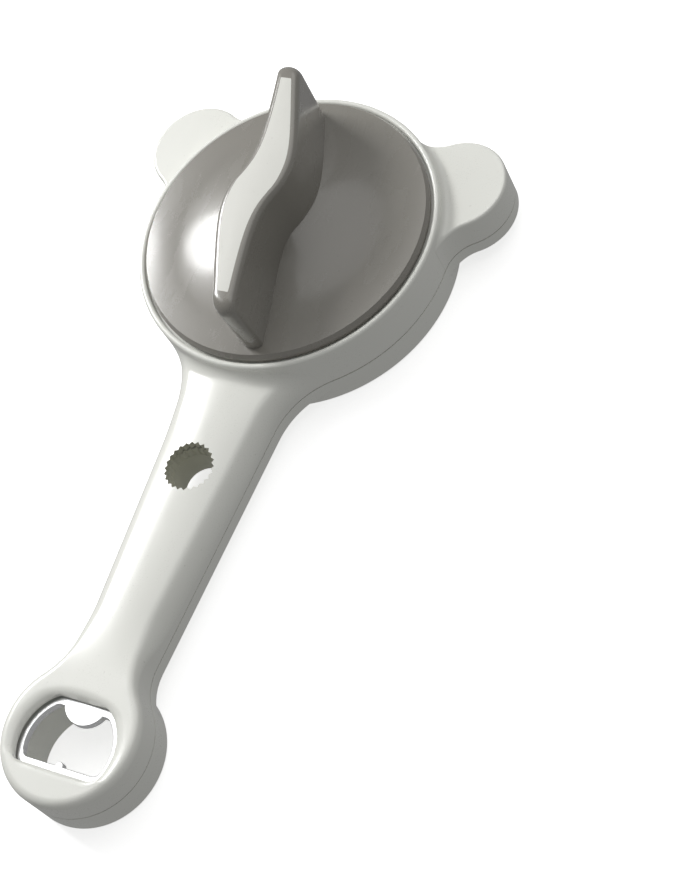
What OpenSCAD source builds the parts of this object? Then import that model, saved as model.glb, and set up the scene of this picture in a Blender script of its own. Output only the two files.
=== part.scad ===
// Hand-held can and jar opener.
// A twist knob turns a scroll plate, and the scroll plate slides three claws in or out together.
// The handle also has a small toothed cap socket and a crown-cap opener at its end.
// +Y runs from the opener end to the round head, +Z is up, and z = 0 is the plane it rests on.

/* [Body] */
// Distance from the middle of the head to the middle of the opener end
arm_len = 166; // [150:1:200]
// Outer radius of the round head
head_r = 49; // [45:0.5:59]
// Width of the opener end outside the round side of its window
boss_w = 8.1; // [7.6:0.1:11]
// Half width of the handle where it leaves the head
handle_root_w = 16.8; // [15:0.2:20]
// Half width of the handle at the opener end
handle_tip_w = 11.8; // [10.5:0.2:14]
// Distance of the middle of a side lobe outside the edge of the head
lobe_out = 4.5; // [2:0.5:8]
// Distance from a side lobe's screw to the lobe's edge
lobe_edge = 5; // [4.4:0.2:8]
// Wall thickness of the two shells
wall = 2.4; // [1.8:0.1:2.8]

/* [Heights] */
// Underside of the lobes and the handle
arm_base_z = 4; // [2:0.5:5]
// Plane where the two shells meet
parting_z = 9.4; // [8.4:0.2:10]
// Top of the lobes and the opener end
arm_top_z = 19.5; // [18.5:0.5:22]
// How far the crest of the handle lies below that
crest_drop = 0.3; // [0.1:0.1:1]
// Top of the rim round the knob
rim_top_z = 24.5; // [24:0.5:25]
// Top of the knob disc at its edge
disc_z = 25.5; // [25:0.5:27]
// Top of the grip
grip_z = 49; // [42:1:56]

/* [Blends] */
// Fillet between a lobe and the head, seen from above
lobe_fillet = 12; // [8:1:16]
// Fillet between the handle and the head, seen from above
neck_fillet = 27; // [18:1:34]
// Fillet between the handle and the opener end, seen from above
boss_fillet = 17; // [10:1:24]
// Radius of the rounded top edge of the opener end
boss_round = 2.6; // [1:0.2:3]
// Radius of the crowned top of the handle, seen from its end
dome_r = 40; // [30:1:60]

/* [Knob] */
// Gap between the knob disc and the rim
disc_gap = 0.7; // [0.4:0.1:1.2]
// Width of the raised rim
rim_w = 2.1; // [1.4:0.1:2.4]
// Thickness of the knob disc at its edge
disc_h = 2.6; // [2.2:0.1:3]
// Height of the bell in the middle of the disc
bell_h = 6; // [3:0.5:9]
// Width of the flat ring round the bell
bell_ring = 10.5; // [8:0.5:18]
// Distance of the grip's foot from the edge of the disc
grip_back = 2.5; // [2:0.5:8]
// How far each end of the grip slopes in from its foot to its top
grip_rake = 4.5; // [2:0.5:9]
// Half width of the grip in the middle
grip_mid_w = 7.6; // [6:0.2:9]
// Half width of the grip at its ends
grip_end_w = 3.4; // [1.2:0.1:4.2]
// Sideways sweep of the grip's S shape
grip_sweep = 6; // [3:0.5:8]
// Wall thickness of the knob moulding
knob_wall = 1.6; // [1.2:0.1:2]
// Radius of the journal that turns in the bush
journal_r = 9; // [8.4:0.1:10.8]
// Side of the square drive
drive_w = 11; // [9:0.5:11.5]
// Angle the knob turns between its stops
knob_turn = 300; // [240:10:330]

/* [Mechanism] */
// Distance of a jaw pin from the axis with the jaws closed
pin_rest_r = 13.5; // [13:0.5:15]
// Radius of a jaw pin
pin_r = 1.9; // [1.5:0.1:2.1]
// Thickness of the scroll plate
scroll_h = 4.3; // [3.8:0.1:4.6]
// Depth of the spiral grooves
groove_depth = 3; // [2.4:0.1:3]
// Gap between the scroll plate and the wall round it
scroll_gap = 1.6; // [1:0.1:2]
// Thickness of the guide plate
guide_h = 1; // [0.8:0.1:1.2]
// Width of a jaw slider
slider_w = 11; // [9:0.5:12]
// Width of the neck that joins a slider to its claw
neck_w = 6; // [5:0.5:7]
// Distance of the gripping face outward from the jaw pin
grip_face = 4; // [3:0.5:5]
// Width of a claw
claw_w = 12; // [10:0.2:14.4]
// Thickness of the steel of a claw
claw_t = 2.2; // [1.6:0.1:2.6]
// Thickness of the rubber pad on a claw
pad_t = 1.8; // [1.4:0.1:2.2]
// Thickness of the web that closes the head underneath
floor_h = 1.8; // [1.4:0.1:2.4]

/* [Cap socket] */
// Distance of the middle of the cap socket from the edge of the head
socket_out = 31.6; // [29:0.2:40]
// Radius of the smooth bore
socket_r = 7; // [5:0.1:7.4]
// Height of the teeth
tooth_h = 0.8; // [0.5:0.1:1.2]
// Number of teeth
teeth = 24; // [18:1:30]
// Wall thickness of the sleeve
sleeve_t = 2; // [1.4:0.1:2.4]

/* [Crown opener] */
// Radius of the round sides of the window in the steel plate
window_r = 13.9; // [12:0.1:16.7]
// Distance of the window's centre from the middle of the opener end, away from the head
window_shift = 3.5; // [2.5:0.1:4]
// Thickness of the steel plate
plate_t = 2.2; // [1.6:0.1:2.6]
// Depth of the steel plate below the top of the opener end
plate_drop = 3.1; // [2.4:0.1:4]
// Width of the ledge of steel that shows round the window
ledge = 1.8; // [1.2:0.1:2.2]
// Radius of the lip that catches the cap
lip_r = 7.2; // [6:0.1:8]
// Height of the hump opposite the lip
hump_h = 1.3; // [0.8:0.1:1.6]

/* [Screws] */
// Radius of the thread of a housing screw
screw_r = 1.25; // [1:0.05:1.5]
// Radius of the head of a housing screw
screw_head_r = 2.5; // [2.1:0.1:2.6]
// Radius of a screw post
post_r = 3.2; // [2.8:0.1:3.4]

/* [Hidden] */
$fn = 96;

shell_white = "#e6e7e1";
knob_grey = "#86827b";
steel_grey = "#b9bcc0";
nylon_grey = "#c9c6bd";
rubber_grey = "#4a4a48";
eps = 0.5;              // how far a cut runs past a face
play = 0.2;             // clearance round a piece that slides
lift = 0.3;             // clearance over or under a piece that turns
run_fit = 0.05;         // radial clearance of the journal in its bush
seat_gap = 0.1;         // clearance at a seat that does not move
shoulder_in = 0.1;      // how far the rim stands in from the side of the head
bite = 0.2;             // how far a fillet's circle runs into the outlines that it joins

boss_r = window_r + boss_w;
head_y = (arm_len + boss_r - head_r) / 2;
arm_angles = [-90, 30, 150];

rim_in_r = head_r - rim_w;
cavity_r = head_r - wall;
disc_r = rim_in_r - disc_gap;
disc_under_z = disc_z - disc_h;
deck_h = 1.6;
deck_top_z = disc_under_z - disc_gap;
deck_under_z = deck_top_z - deck_h;
roof_z = arm_top_z - wall;
arm_floor_z = arm_base_z + wall - 0.4;
web_z = parting_z - floor_h;

scroll_top_z = deck_under_z - lift;
scroll_z = scroll_top_z - scroll_h;
scroll_r = cavity_r - scroll_gap;
groove_w = pin_r + play;
travel = scroll_r - groove_w - 2.4 - pin_rest_r;
lead = travel * 360 / knob_turn;
guide_z = parting_z + guide_h;
slider_z = guide_z + play;
slider_top_z = scroll_z - lift;
slider_in = 4;
slider_out = 20;
neck_in = 3;
neck_out = 13.5;
claw_top_z = web_z - lift;
claw_flange_h = 1.4;
claw_screw_x = 11;
claw_in = 3.5;
claw_out = 14;
claw_tip_z = 0.4;
slot_in = pin_rest_r - neck_in - eps;
slot_end = pin_rest_r + neck_out + travel + eps;
slot_w = neck_w + 2 * play;
channel_end = pin_rest_r + claw_out + travel + eps;
channel_w = claw_w + 6 * play;
channel_wall = 1.8;
rail_z = parting_z - seat_gap;
skirt_r = cavity_r - 0.6;

screw_clear = 2.2;
lobe_post_y = channel_w / 2 + channel_wall + screw_clear;
lobe_d = head_r + lobe_out;
lobe_r = lobe_post_y + lobe_edge;
root_d = head_r + 11;
root_post_y = handle_root_w - 6;
tip_back = 20;
socket_d = head_r + socket_out;

bell_r = disc_r - bell_ring;
grip_foot_len = disc_r - grip_back;
grip_half_len = grip_foot_len - grip_rake;
knob_lip = 2;
hub_h = disc_h - knob_wall + 0.2;
bush_r = journal_r + 2;
bush_flange_r = bush_r + 3;
washer_h = 1.2;
washer_r = drive_w / sqrt(2) + 0.8;
retainer_r = 2.4;
retainer_head_r = 4.5;
retainer_head_h = 3;
cap_plug_r = 5.6;
cap_flange_r = 7.6;
cap_flange_h = 1.2;
guide_hub_r = 22;
guide_arm_w = 14;
guide_arm_out = channel_end + channel_wall;
guide_screw_d = 17;
guide_boss_h = 1.2;

plate_top_z = arm_top_z - plate_drop;
plate_z = plate_top_z - plate_t;
plate_r = boss_r - wall - seat_gap;
window_top = window_r - 6.5;
window_low = window_r - 4.5;
lip_reach = window_top - 4.3;
frame_top = window_top + ledge + 0.5;
frame_low = window_low + ledge + 0.3;
well_r = window_r + 1.3;
well_shift = window_shift - 0.7;

tooth_crest_r = socket_r + 0.2;
tooth_root_r = tooth_crest_r + tooth_h;
sleeve_r = socket_r + sleeve_t;
sleeve_top_z = roof_z - 1.1;
collar_r = sleeve_r + 1.6;

screw_head_h = 1.4;
screw_sink = 0.4;
screw_seat_z = arm_base_z + screw_sink + screw_head_h;
screw_len = 9.6;
lobe_posts = [for (a = [30, 150], s = [-1, 1]) [a, lobe_d, s * lobe_post_y]];
root_posts = [for (s = [-1, 1]) [-90, root_d, s * root_post_y]];
row_start = socket_d + collar_r + 9.4;
row_end = arm_len - boss_r - 2;
row_posts = [for (d = [row_start, (row_start + row_end) / 2, row_end]) [-90, d, 0]];
posts = concat(lobe_posts, root_posts, row_posts);

// Half width of the handle at a distance d from the middle of the head
handle_slope = (handle_tip_w - handle_root_w) / (arm_len - tip_back - root_d);
function handle_w(d) = handle_root_w + handle_slope * (d - root_d);
side_len = sqrt(1 + handle_slope * handle_slope);

// Third corner of a triangle on [0, 0] and [d, 0], at distances a and b from them
function apex(d, a, b) =
    let (x = (d * d + a * a - b * b) / (2 * d))
    [x, sqrt(a * a - x * x)];

// Middle of a fillet that touches a circle of radius r at distance c, and the side of the handle.
// dir is 1 on the side of the circle towards the opener end, -1 on the side towards the head.
function side_fillet(c, r, f, dir) =
    let (
        base = handle_w(c) + (f - bite) * side_len,
        qa = 1 + handle_slope * handle_slope,
        qb = base * handle_slope,
        qc = base * base - (r + f - bite) * (r + f - bite),
        t = (-qb + dir * sqrt(qb * qb - qa * qc)) / qa
    )
    [c + t, base + handle_slope * t];

// Point of the handle's side nearest to p
function side_foot(p) =
    let (
        gap = (p[1] - handle_w(p[0])) / side_len,
        nx = -handle_slope / side_len,
        ny = 1 / side_len
    )
    [p[0] - nx * gap, p[1] - ny * gap];

function tanh(x) = (exp(2 * x) - 1) / (exp(2 * x) + 1);
function grip_mid(y) = grip_sweep * (tanh(y / 10.5) - 0.052 * y);
function grip_w(y) =
    grip_end_w + (grip_mid_w - grip_end_w) * pow(max(0, 1 - abs(y) / grip_half_len), 1.15);

// Height of the handle's crown at a distance x from its middle
function crown_z(x) = arm_top_z - crest_drop - dome_r + sqrt(dome_r * dome_r - x * x);

// Top of a screw post, kept under the crown
function post_top_z(p) = min(roof_z, crown_z(abs(p[2]) + post_r) - 0.8) + 0.4;

module at_head() {
    translate([0, head_y, 0]) children();
}

module at_boss() {
    translate([0, head_y - arm_len, 0]) children();
}

// Turns a piece drawn along +X into the direction of one arm
module at_arm(angle) {
    at_head() rotate([0, 0, angle]) children();
}

module at_posts(list) {
    for (p = list) at_arm(p[0]) translate([p[1], p[2], 0]) children();
}

module rod(r, low, high) {
    translate([0, 0, low]) cylinder(r = r, h = high - low);
}

// Box from x0 to x1 and low to high, w wide and centred on y
module bar(x0, x1, w, low, high) {
    translate([x0, -w / 2, low]) cube([x1 - x0, w, high - low]);
}

// ---- Plan shapes. Each is drawn along +X from the middle of the head, set in by i ----

module lobe_plan(i) {
    c = apex(lobe_d, head_r + lobe_fillet - bite, lobe_r + lobe_fillet - bite);
    translate([lobe_d, 0]) circle(r = lobe_r - i);
    for (s = [-1, 1]) {
        difference() {
            polygon([[0, 0], [c[0], s * c[1]], [lobe_d, 0]]);
            translate([c[0], s * c[1]]) circle(r = lobe_fillet + i);
        }
    }
}

module handle_plan(i) {
    neck = side_fillet(0, head_r, neck_fillet, 1);
    tail = side_fillet(arm_len, boss_r, boss_fillet, -1);
    neck_foot = side_foot(neck);
    tail_foot = side_foot(tail);
    inset = i * side_len;
    start = head_r / 2;
    polygon([
        [start, handle_w(start) - inset], [arm_len, handle_w(arm_len) - inset],
        [arm_len, inset - handle_w(arm_len)], [start, inset - handle_w(start)]
    ]);
    for (s = [-1, 1]) {
        difference() {
            polygon([
                [0, 0], [neck[0], s * neck[1]],
                [neck_foot[0], s * neck_foot[1]], [neck_foot[0], 0]
            ]);
            translate([neck[0], s * neck[1]]) circle(r = neck_fillet + i);
        }
        difference() {
            polygon([
                [arm_len, 0], [tail[0], s * tail[1]],
                [tail_foot[0], s * tail_foot[1]], [tail_foot[0], 0]
            ]);
            translate([tail[0], s * tail[1]]) circle(r = boss_fillet + i);
        }
    }
}

module lobe_solid(i, low, high) {
    for (a = [30, 150]) at_arm(a) translate([0, 0, low]) linear_extrude(height = high - low) lobe_plan(i);
}

// The head's circle and both lobes as one outline
module lobed_head(i, low, high) {
    at_head() translate([0, 0, low]) linear_extrude(height = high - low) {
        circle(r = head_r - i);
        for (a = [30, 150]) rotate([0, 0, a]) lobe_plan(i);
    }
}

module handle_solid(i, low, high) {
    at_arm(-90) translate([0, 0, low]) linear_extrude(height = high - low) handle_plan(i);
}

// The crowned handle, set in by i from its sides and its top
module handle_crowned(i, low) {
    intersection() {
        handle_solid(i, low, arm_top_z + eps);
        translate([0, head_y + eps, arm_top_z - crest_drop - dome_r]) rotate([90, 0, 0])
            cylinder(r = dome_r - i, h = arm_len + 2 * eps, $fn = 180);
    }
}

// Circle with a flat across its top and another across its bottom
module flatted_plan(r, top, low) {
    intersection() {
        translate([0, -window_shift]) circle(r = r);
        translate([-r, -low]) square([2 * r, top + low]);
    }
}

module tooth_plan() {
    polygon([
        for (k = [0:2 * teeth - 1])
            let (r = k % 2 == 0 ? tooth_root_r : tooth_crest_r)
            [r * cos(180 * k / teeth), r * sin(180 * k / teeth)]
    ]);
}

// ---- Housing ----

module boss_outer() {
    at_boss() rotate_extrude() union() {
        translate([0, parting_z]) square([boss_r - boss_round, arm_top_z - parting_z]);
        translate([0, parting_z]) square([boss_r, arm_top_z - boss_round - parting_z]);
        translate([boss_r - boss_round, arm_top_z - boss_round]) circle(r = boss_round);
    }
}

module head_outer() {
    ring_z = rim_top_z - rim_w / 2;
    at_head() {
        rod(head_r - shoulder_in, parting_z + eps, ring_z);
        rotate_extrude() translate([head_r - shoulder_in - rim_w / 2, ring_z]) circle(r = rim_w / 2);
    }
}

module top_shell() {
    color(shell_white) difference() {
        union() {
            difference() {
                union() {
                    head_outer();
                    lobed_head(0, parting_z, arm_top_z);
                    handle_crowned(0, parting_z);
                    boss_outer();
                }
                at_head() rod(cavity_r - shoulder_in, parting_z, deck_under_z);
                lobed_head(wall, parting_z - eps, roof_z);
                difference() {
                    handle_crowned(wall, parting_z - eps);
                    at_boss() rod(boss_r, parting_z - 2 * eps, arm_top_z + eps);
                }
                at_boss() rod(boss_r - wall, parting_z - eps, plate_top_z);
            }
            difference() {
                for (p = posts) at_posts([p]) rod(post_r, parting_z, post_top_z(p));
                at_boss() rod(boss_r - wall, parting_z - eps, plate_top_z);
            }
            at_arm(-90) translate([socket_d, 0, 0]) rod(collar_r, sleeve_top_z - 3, roof_z);
        }
        at_head() rod(rim_in_r, deck_top_z, rim_top_z + eps);
        at_head() rod(bush_r, deck_under_z - eps, deck_top_z + eps);
        at_posts(posts) rod(screw_r, parting_z - eps, screw_seat_z + screw_len + seat_gap);
        at_arm(-90) translate([socket_d, 0, 0]) {
            rod(sleeve_r, sleeve_top_z - 3 - eps, sleeve_top_z);
            translate([0, 0, sleeve_top_z - eps]) linear_extrude(height = wall + 2) tooth_plan();
        }
        at_boss() translate([0, 0, plate_top_z - eps]) linear_extrude(height = plate_drop + 2 * eps)
            flatted_plan(window_r + ledge, frame_top, frame_low);
    }
}

module bottom_shell() {
    color(shell_white) difference() {
        union() {
            difference() {
                union() {
                    lobe_solid(0, arm_base_z, parting_z);
                    handle_solid(0, arm_base_z, parting_z);
                }
                lobe_solid(wall, arm_floor_z, parting_z + eps);
                handle_solid(wall, arm_floor_z, parting_z + eps);
            }
            at_head() rod(head_r, 0, parting_z);
            for (a = arm_angles) at_arm(a)
                bar(skirt_r, guide_arm_out, channel_w + 2 * channel_wall,
                    arm_base_z + eps, rail_z);
            at_posts(posts) rod(post_r, arm_base_z, parting_z);
            at_boss() rod(boss_r, 0, parting_z);
            at_boss() rod(boss_r - wall - seat_gap, parting_z - eps, plate_z);
            at_arm(-90) translate([socket_d, 0, 0]) rod(collar_r, arm_base_z, parting_z);
        }
        difference() {
            at_head() rod(skirt_r, -eps, web_z);
            for (a = arm_angles) at_arm(a + 60) translate([guide_screw_d, 0, 0])
                rod(post_r - 0.4, web_z - guide_boss_h, web_z + eps);
        }
        for (a = arm_angles) at_arm(a) {
            bar(skirt_r - 2, channel_end, channel_w, -eps, web_z + seat_gap);
            bar(slot_in, slot_end, slot_w, web_z - eps, parting_z + eps);
        }
        for (a = arm_angles) at_arm(a + 60) translate([guide_screw_d, 0, 0])
            rod(screw_r, web_z - guide_boss_h - eps, parting_z + eps);
        at_head() rod(cap_plug_r, web_z - eps, parting_z + eps);
        at_posts(posts) {
            rod(screw_r + play, arm_base_z - eps, parting_z + eps);
            rod(screw_head_r + play, arm_base_z - eps, screw_seat_z);
        }
        at_boss() translate([0, -well_shift, 0]) rod(well_r, -eps, plate_z + eps);
        at_arm(-90) translate([socket_d, 0, 0]) rod(sleeve_r, arm_base_z - eps, parting_z + eps);
    }
}

module cap_socket() {
    color(nylon_grey) at_arm(-90) translate([socket_d, 0, 0]) difference() {
        rod(sleeve_r, arm_base_z, sleeve_top_z);
        rod(socket_r, arm_base_z - eps, sleeve_top_z + eps);
    }
}

module opener_plate() {
    color(steel_grey) at_boss() difference() {
        rod(plate_r, plate_z, plate_top_z);
        translate([0, 0, plate_z - eps]) linear_extrude(height = plate_t + 2 * eps) difference() {
            flatted_plan(window_r, window_top, window_low);
            translate([0, lip_reach + lip_r]) circle(r = lip_r);
            translate([0, -window_low]) circle(r = hump_h);
        }
    }
}

module housing_screws() {
    color(steel_grey) at_posts(posts) difference() {
        union() {
            rod(screw_head_r, screw_seat_z - screw_head_h, screw_seat_z);
            rod(screw_r, screw_seat_z - seat_gap, screw_seat_z + screw_len);
        }
        for (a = [0, 90]) rotate([0, 0, a])
            bar(-1.5, 1.5, 0.6, screw_seat_z - screw_head_h - eps, screw_seat_z - 0.6);
    }
}

// ---- Knob and scroll ----

// S-shaped outline of the grip, set in by i
module grip_plan(i) {
    ys = [for (y = [-grip_foot_len:2:grip_foot_len]) y];
    right = [for (y = ys) [grip_mid(y) + max(0.4, grip_w(y) - i), y]];
    left = [for (k = [len(ys) - 1:-1:0]) [grip_mid(ys[k]) - max(0.4, grip_w(ys[k]) - i), ys[k]]];
    polygon(concat(right, left));
}

// The grip between two heights, with its sloping ends, set in by i
module grip_solid(i, low) {
    top = grip_z - i;
    intersection() {
        translate([0, 0, low]) linear_extrude(height = top - low) grip_plan(i);
        rotate([90, 0, 90]) linear_extrude(height = 4 * grip_mid_w + 2 * grip_sweep, center = true) polygon([
            [4 * i - grip_foot_len, low - eps], [grip_foot_len - 4 * i, low - eps],
            [grip_foot_len - 4 * i, disc_z], [grip_half_len - 4 * i, grip_z],
            [4 * i - grip_half_len, grip_z], [4 * i - grip_foot_len, disc_z]
        ]);
    }
}

// Half profile of the disc and its bell, lowered by i. The bell is a crown arc and a flare arc.
module bell_profile(i, r_max) {
    half = bell_r / 2;
    rise = bell_h / 2;
    arc = (half * half + rise * rise) / bell_h;
    overlap = 0.3;
    translate([0, disc_under_z]) square([r_max, disc_h - i]);
    translate([0, disc_z - i]) {
        intersection() {
            translate([0, -overlap]) square([half, bell_h + overlap]);
            translate([0, bell_h - arc]) circle(r = arc);
        }
        difference() {
            translate([half - 0.01, -overlap]) square([half, bell_h + overlap]);
            translate([bell_r, arc - bite]) circle(r = arc);
        }
    }
}

module twist_knob() {
    color(knob_grey) at_head() difference() {
        union() {
            difference() {
                union() {
                    rotate_extrude() bell_profile(0, disc_r);
                    grip_solid(0, disc_z - knob_wall + 0.2);
                }
                rotate_extrude() bell_profile(knob_wall, disc_r - knob_lip);
                grip_solid(knob_wall + 0.6, disc_under_z + lift);
                rod(disc_r - knob_lip, disc_under_z - eps, disc_under_z + hub_h);
            }
            rod(retainer_head_r + 1, disc_under_z + hub_h, disc_z + bell_h);
        }
        rod(retainer_r, disc_under_z - eps, disc_z + 2);
    }
}

module knob_hub() {
    color(nylon_grey) at_head() difference() {
        union() {
            rod(disc_r - knob_lip - seat_gap, disc_under_z, disc_under_z + hub_h);
            rod(journal_r, scroll_top_z, disc_under_z);
            translate([0, 0, (scroll_top_z + scroll_z + lift) / 2])
                cube([drive_w, drive_w, scroll_h - lift], center = true);
        }
        rod(retainer_r, scroll_z - eps, disc_z);
    }
}

module centre_bush() {
    color(nylon_grey) at_head() difference() {
        union() {
            rod(bush_r, deck_under_z, deck_top_z);
            rod(bush_flange_r, deck_top_z, disc_under_z - seat_gap);
        }
        rod(journal_r + run_fit, deck_under_z - eps, disc_under_z + eps);
    }
}

module slip_ring() {
    color(nylon_grey) at_head() difference() {
        rod(bush_flange_r + 5, scroll_top_z + 0.05, deck_under_z - 0.05);
        rod(bush_r + 1, scroll_top_z, deck_under_z);
    }
}

// Outline of one spiral groove, whose radius grows as the angle falls
module spiral_plan(w) {
    n = 90;
    function at(k, side) =
        let (
            a = -knob_turn * k / n,
            r = pin_rest_r + travel * k / n,
            slope = atan(lead / (2 * PI * r))
        )
        [r * cos(a) + side * w * cos(a + slope), r * sin(a) + side * w * sin(a + slope)];
    polygon(concat([for (k = [0:n]) at(k, 1)], [for (k = [n:-1:0]) at(k, -1)]));
    translate([pin_rest_r, 0]) circle(r = w);
    rotate([0, 0, -knob_turn]) translate([pin_rest_r + travel, 0]) circle(r = w);
}

module scroll_plate() {
    color(steel_grey) at_head() difference() {
        rod(scroll_r, scroll_z, scroll_top_z);
        for (a = arm_angles) rotate([0, 0, a]) translate([0, 0, scroll_z - eps])
            linear_extrude(height = groove_depth + eps) spiral_plan(groove_w);
        translate([0, 0, (scroll_top_z + scroll_z) / 2])
            cube([drive_w + 2 * seat_gap, drive_w + 2 * seat_gap, scroll_h + 2 * eps], center = true);
    }
}

module retaining_washer() {
    color(steel_grey) at_head() difference() {
        rod(washer_r, scroll_z - washer_h, scroll_z);
        rod(retainer_r + seat_gap, scroll_z - washer_h - eps, scroll_z + eps);
    }
}

module retaining_screw() {
    head_z = scroll_z - washer_h;
    color(steel_grey) at_head() difference() {
        union() {
            rod(retainer_head_r, head_z - retainer_head_h, head_z);
            rod(retainer_r, head_z - seat_gap, disc_z + 1);
        }
        translate([0, 0, head_z - retainer_head_h - eps]) cylinder(r = 2, h = 1.6 + eps, $fn = 6);
    }
}

// ---- Jaws ----

module guide_plate() {
    color(steel_grey) difference() {
        union() {
            at_head() rod(guide_hub_r, parting_z, guide_z);
            for (a = arm_angles) at_arm(a) bar(0, guide_arm_out, guide_arm_w, parting_z, guide_z);
        }
        at_head() rod(cap_plug_r + 0.6, parting_z - eps, guide_z + eps);
        for (a = arm_angles) {
            at_arm(a) bar(slot_in, slot_end, slot_w, parting_z - eps, guide_z + eps);
            at_arm(a + 60) translate([guide_screw_d, 0, 0])
                rod(screw_r + play, parting_z - eps, guide_z + eps);
        }
    }
}

module guide_screws() {
    color(steel_grey) for (a = arm_angles) at_arm(a + 60) translate([guide_screw_d, 0, 0]) {
        rod(screw_head_r, guide_z, guide_z + screw_head_h);
        rod(screw_r, web_z - guide_boss_h + 0.2, guide_z + seat_gap);
    }
}

module centre_cap() {
    color(shell_white) at_head() union() {
        rod(cap_flange_r, web_z - cap_flange_h, web_z);
        rod(cap_plug_r, web_z - seat_gap, parting_z);
    }
}

module jaw_slider(angle) {
    color(nylon_grey) at_arm(angle) translate([pin_rest_r, 0, 0]) difference() {
        union() {
            bar(-slider_in, slider_out, slider_w, slider_z, slider_top_z);
            bar(-neck_in, neck_out, neck_w, claw_top_z, slider_z + eps);
        }
        rod(pin_r, slider_z + 1, slider_top_z + eps);
        translate([claw_screw_x, 0, 0]) rod(screw_r, claw_top_z - eps, slider_top_z - 1);
    }
}

module jaw_pin(angle) {
    color(steel_grey) at_arm(angle) translate([pin_rest_r, 0, 0])
        rod(pin_r, slider_z + 1, scroll_z + groove_depth - lift);
}

module jaw_claw(angle) {
    back = grip_face + pad_t;
    color(steel_grey) at_arm(angle) translate([pin_rest_r, 0, 0]) difference() {
        union() {
            bar(-claw_in, claw_out, claw_w - 1, claw_top_z - claw_flange_h, claw_top_z);
            bar(back, back + claw_t, claw_w, claw_tip_z, claw_top_z);
        }
        translate([claw_screw_x, 0, 0])
            rod(screw_r + seat_gap, claw_top_z - claw_flange_h - eps, claw_top_z + eps);
    }
}

module claw_pad(angle) {
    ribs = 6;
    pitch = (claw_w - 1) / ribs;
    top = claw_top_z - claw_flange_h - seat_gap;
    color(rubber_grey) at_arm(angle) translate([pin_rest_r + grip_face, 0, 0]) difference() {
        bar(0, pad_t, claw_w - 1, claw_tip_z + play, top);
        for (k = [1:ribs - 1]) translate([0, (k - ribs / 2) * pitch, claw_tip_z])
            cylinder(r = 0.7, h = top, $fn = 4);
    }
}

module claw_screw(angle) {
    seat = claw_top_z - claw_flange_h;
    color(steel_grey) at_arm(angle) translate([pin_rest_r + claw_screw_x, 0, 0]) difference() {
        union() {
            rod(screw_head_r - 0.2, seat - screw_head_h, seat);
            rod(screw_r, seat - seat_gap, slider_top_z - 1.4);
        }
        for (a = [0, 90]) rotate([0, 0, a]) bar(-1.4, 1.4, 0.6, seat - screw_head_h - eps, seat - 0.7);
    }
}

top_shell();
bottom_shell();
twist_knob();
knob_hub();
centre_bush();
slip_ring();
scroll_plate();
retaining_washer();
retaining_screw();
guide_plate();
guide_screws();
centre_cap();
jaw_slider(-90);  // handle_slider
jaw_slider(30);  // right_slider
jaw_slider(150);  // left_slider
jaw_pin(-90);  // handle_jaw_pin
jaw_pin(30);  // right_jaw_pin
jaw_pin(150);  // left_jaw_pin
jaw_claw(-90);  // handle_claw
jaw_claw(30);  // right_claw
jaw_claw(150);  // left_claw
claw_pad(-90);  // handle_claw_pad
claw_pad(30);  // right_claw_pad
claw_pad(150);  // left_claw_pad
claw_screw(-90);  // handle_claw_screw
claw_screw(30);  // right_claw_screw
claw_screw(150);  // left_claw_screw
cap_socket();
opener_plate();
housing_screws();
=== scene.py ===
"""Hand-held can and jar opener: its visible pieces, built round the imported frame.

Sizes are millimetres. Arms are drawn along +X from the middle of the head and then turned into place.
"""

import logging
import math
from dataclasses import dataclass
from enum import Enum
from typing import Any, Callable, Optional, Sequence, Union

import bmesh
import bpy
import numpy as np
from mathutils import Matrix, Vector


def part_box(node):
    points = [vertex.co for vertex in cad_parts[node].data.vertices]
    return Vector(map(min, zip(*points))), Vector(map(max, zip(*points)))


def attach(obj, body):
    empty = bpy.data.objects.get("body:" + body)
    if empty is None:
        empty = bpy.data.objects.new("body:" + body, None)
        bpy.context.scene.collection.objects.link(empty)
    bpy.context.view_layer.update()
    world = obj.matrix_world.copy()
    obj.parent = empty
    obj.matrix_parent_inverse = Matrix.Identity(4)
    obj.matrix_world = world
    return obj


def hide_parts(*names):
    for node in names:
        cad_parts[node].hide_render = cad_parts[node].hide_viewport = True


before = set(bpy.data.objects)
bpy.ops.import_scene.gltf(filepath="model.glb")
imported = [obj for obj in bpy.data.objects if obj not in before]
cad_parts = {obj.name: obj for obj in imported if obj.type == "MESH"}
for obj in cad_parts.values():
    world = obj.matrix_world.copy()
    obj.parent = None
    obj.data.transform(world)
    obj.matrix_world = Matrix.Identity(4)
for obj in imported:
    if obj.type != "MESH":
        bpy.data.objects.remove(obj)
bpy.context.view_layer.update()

MM = 0.001
WELD = 1e-4
PAST = 0.5  # how far a cutter runs past a face
PLUMB = 0.999  # a normal this steep belongs to a level face
UPRIGHT = 0.1  # a normal under this slope belongs to an upright wall
CLOSE = 0.1  # how near a face has to lie to belong to a wall
SCREW_BEVEL = 0.35
SHANK_SINK = 0.3
RECESS_SHARE = 0.62  # of the head's radius
RECESS_W = 0.62
RECESS_H = 0.8
LOG = logging.getLogger("opener")
Pair = tuple[float, float]
Triple = tuple[float, float, float]
Colour = Triple
HeightRule = Callable[[np.ndarray, np.ndarray], np.ndarray]


# ---- Places that the frame gives ----


def low(node: str) -> Vector:
    """Lowest corner of a node, in millimetres."""
    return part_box(node)[0] / MM


def high(node: str) -> Vector:
    """Highest corner of a node, in millimetres."""
    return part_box(node)[1] / MM


def middle(node: str) -> Vector:
    """Middle of a node seen from above, in millimetres, at z = 0."""
    centre = (low(node) + high(node)) / 2
    return Vector((centre.x, centre.y, 0))


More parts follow.
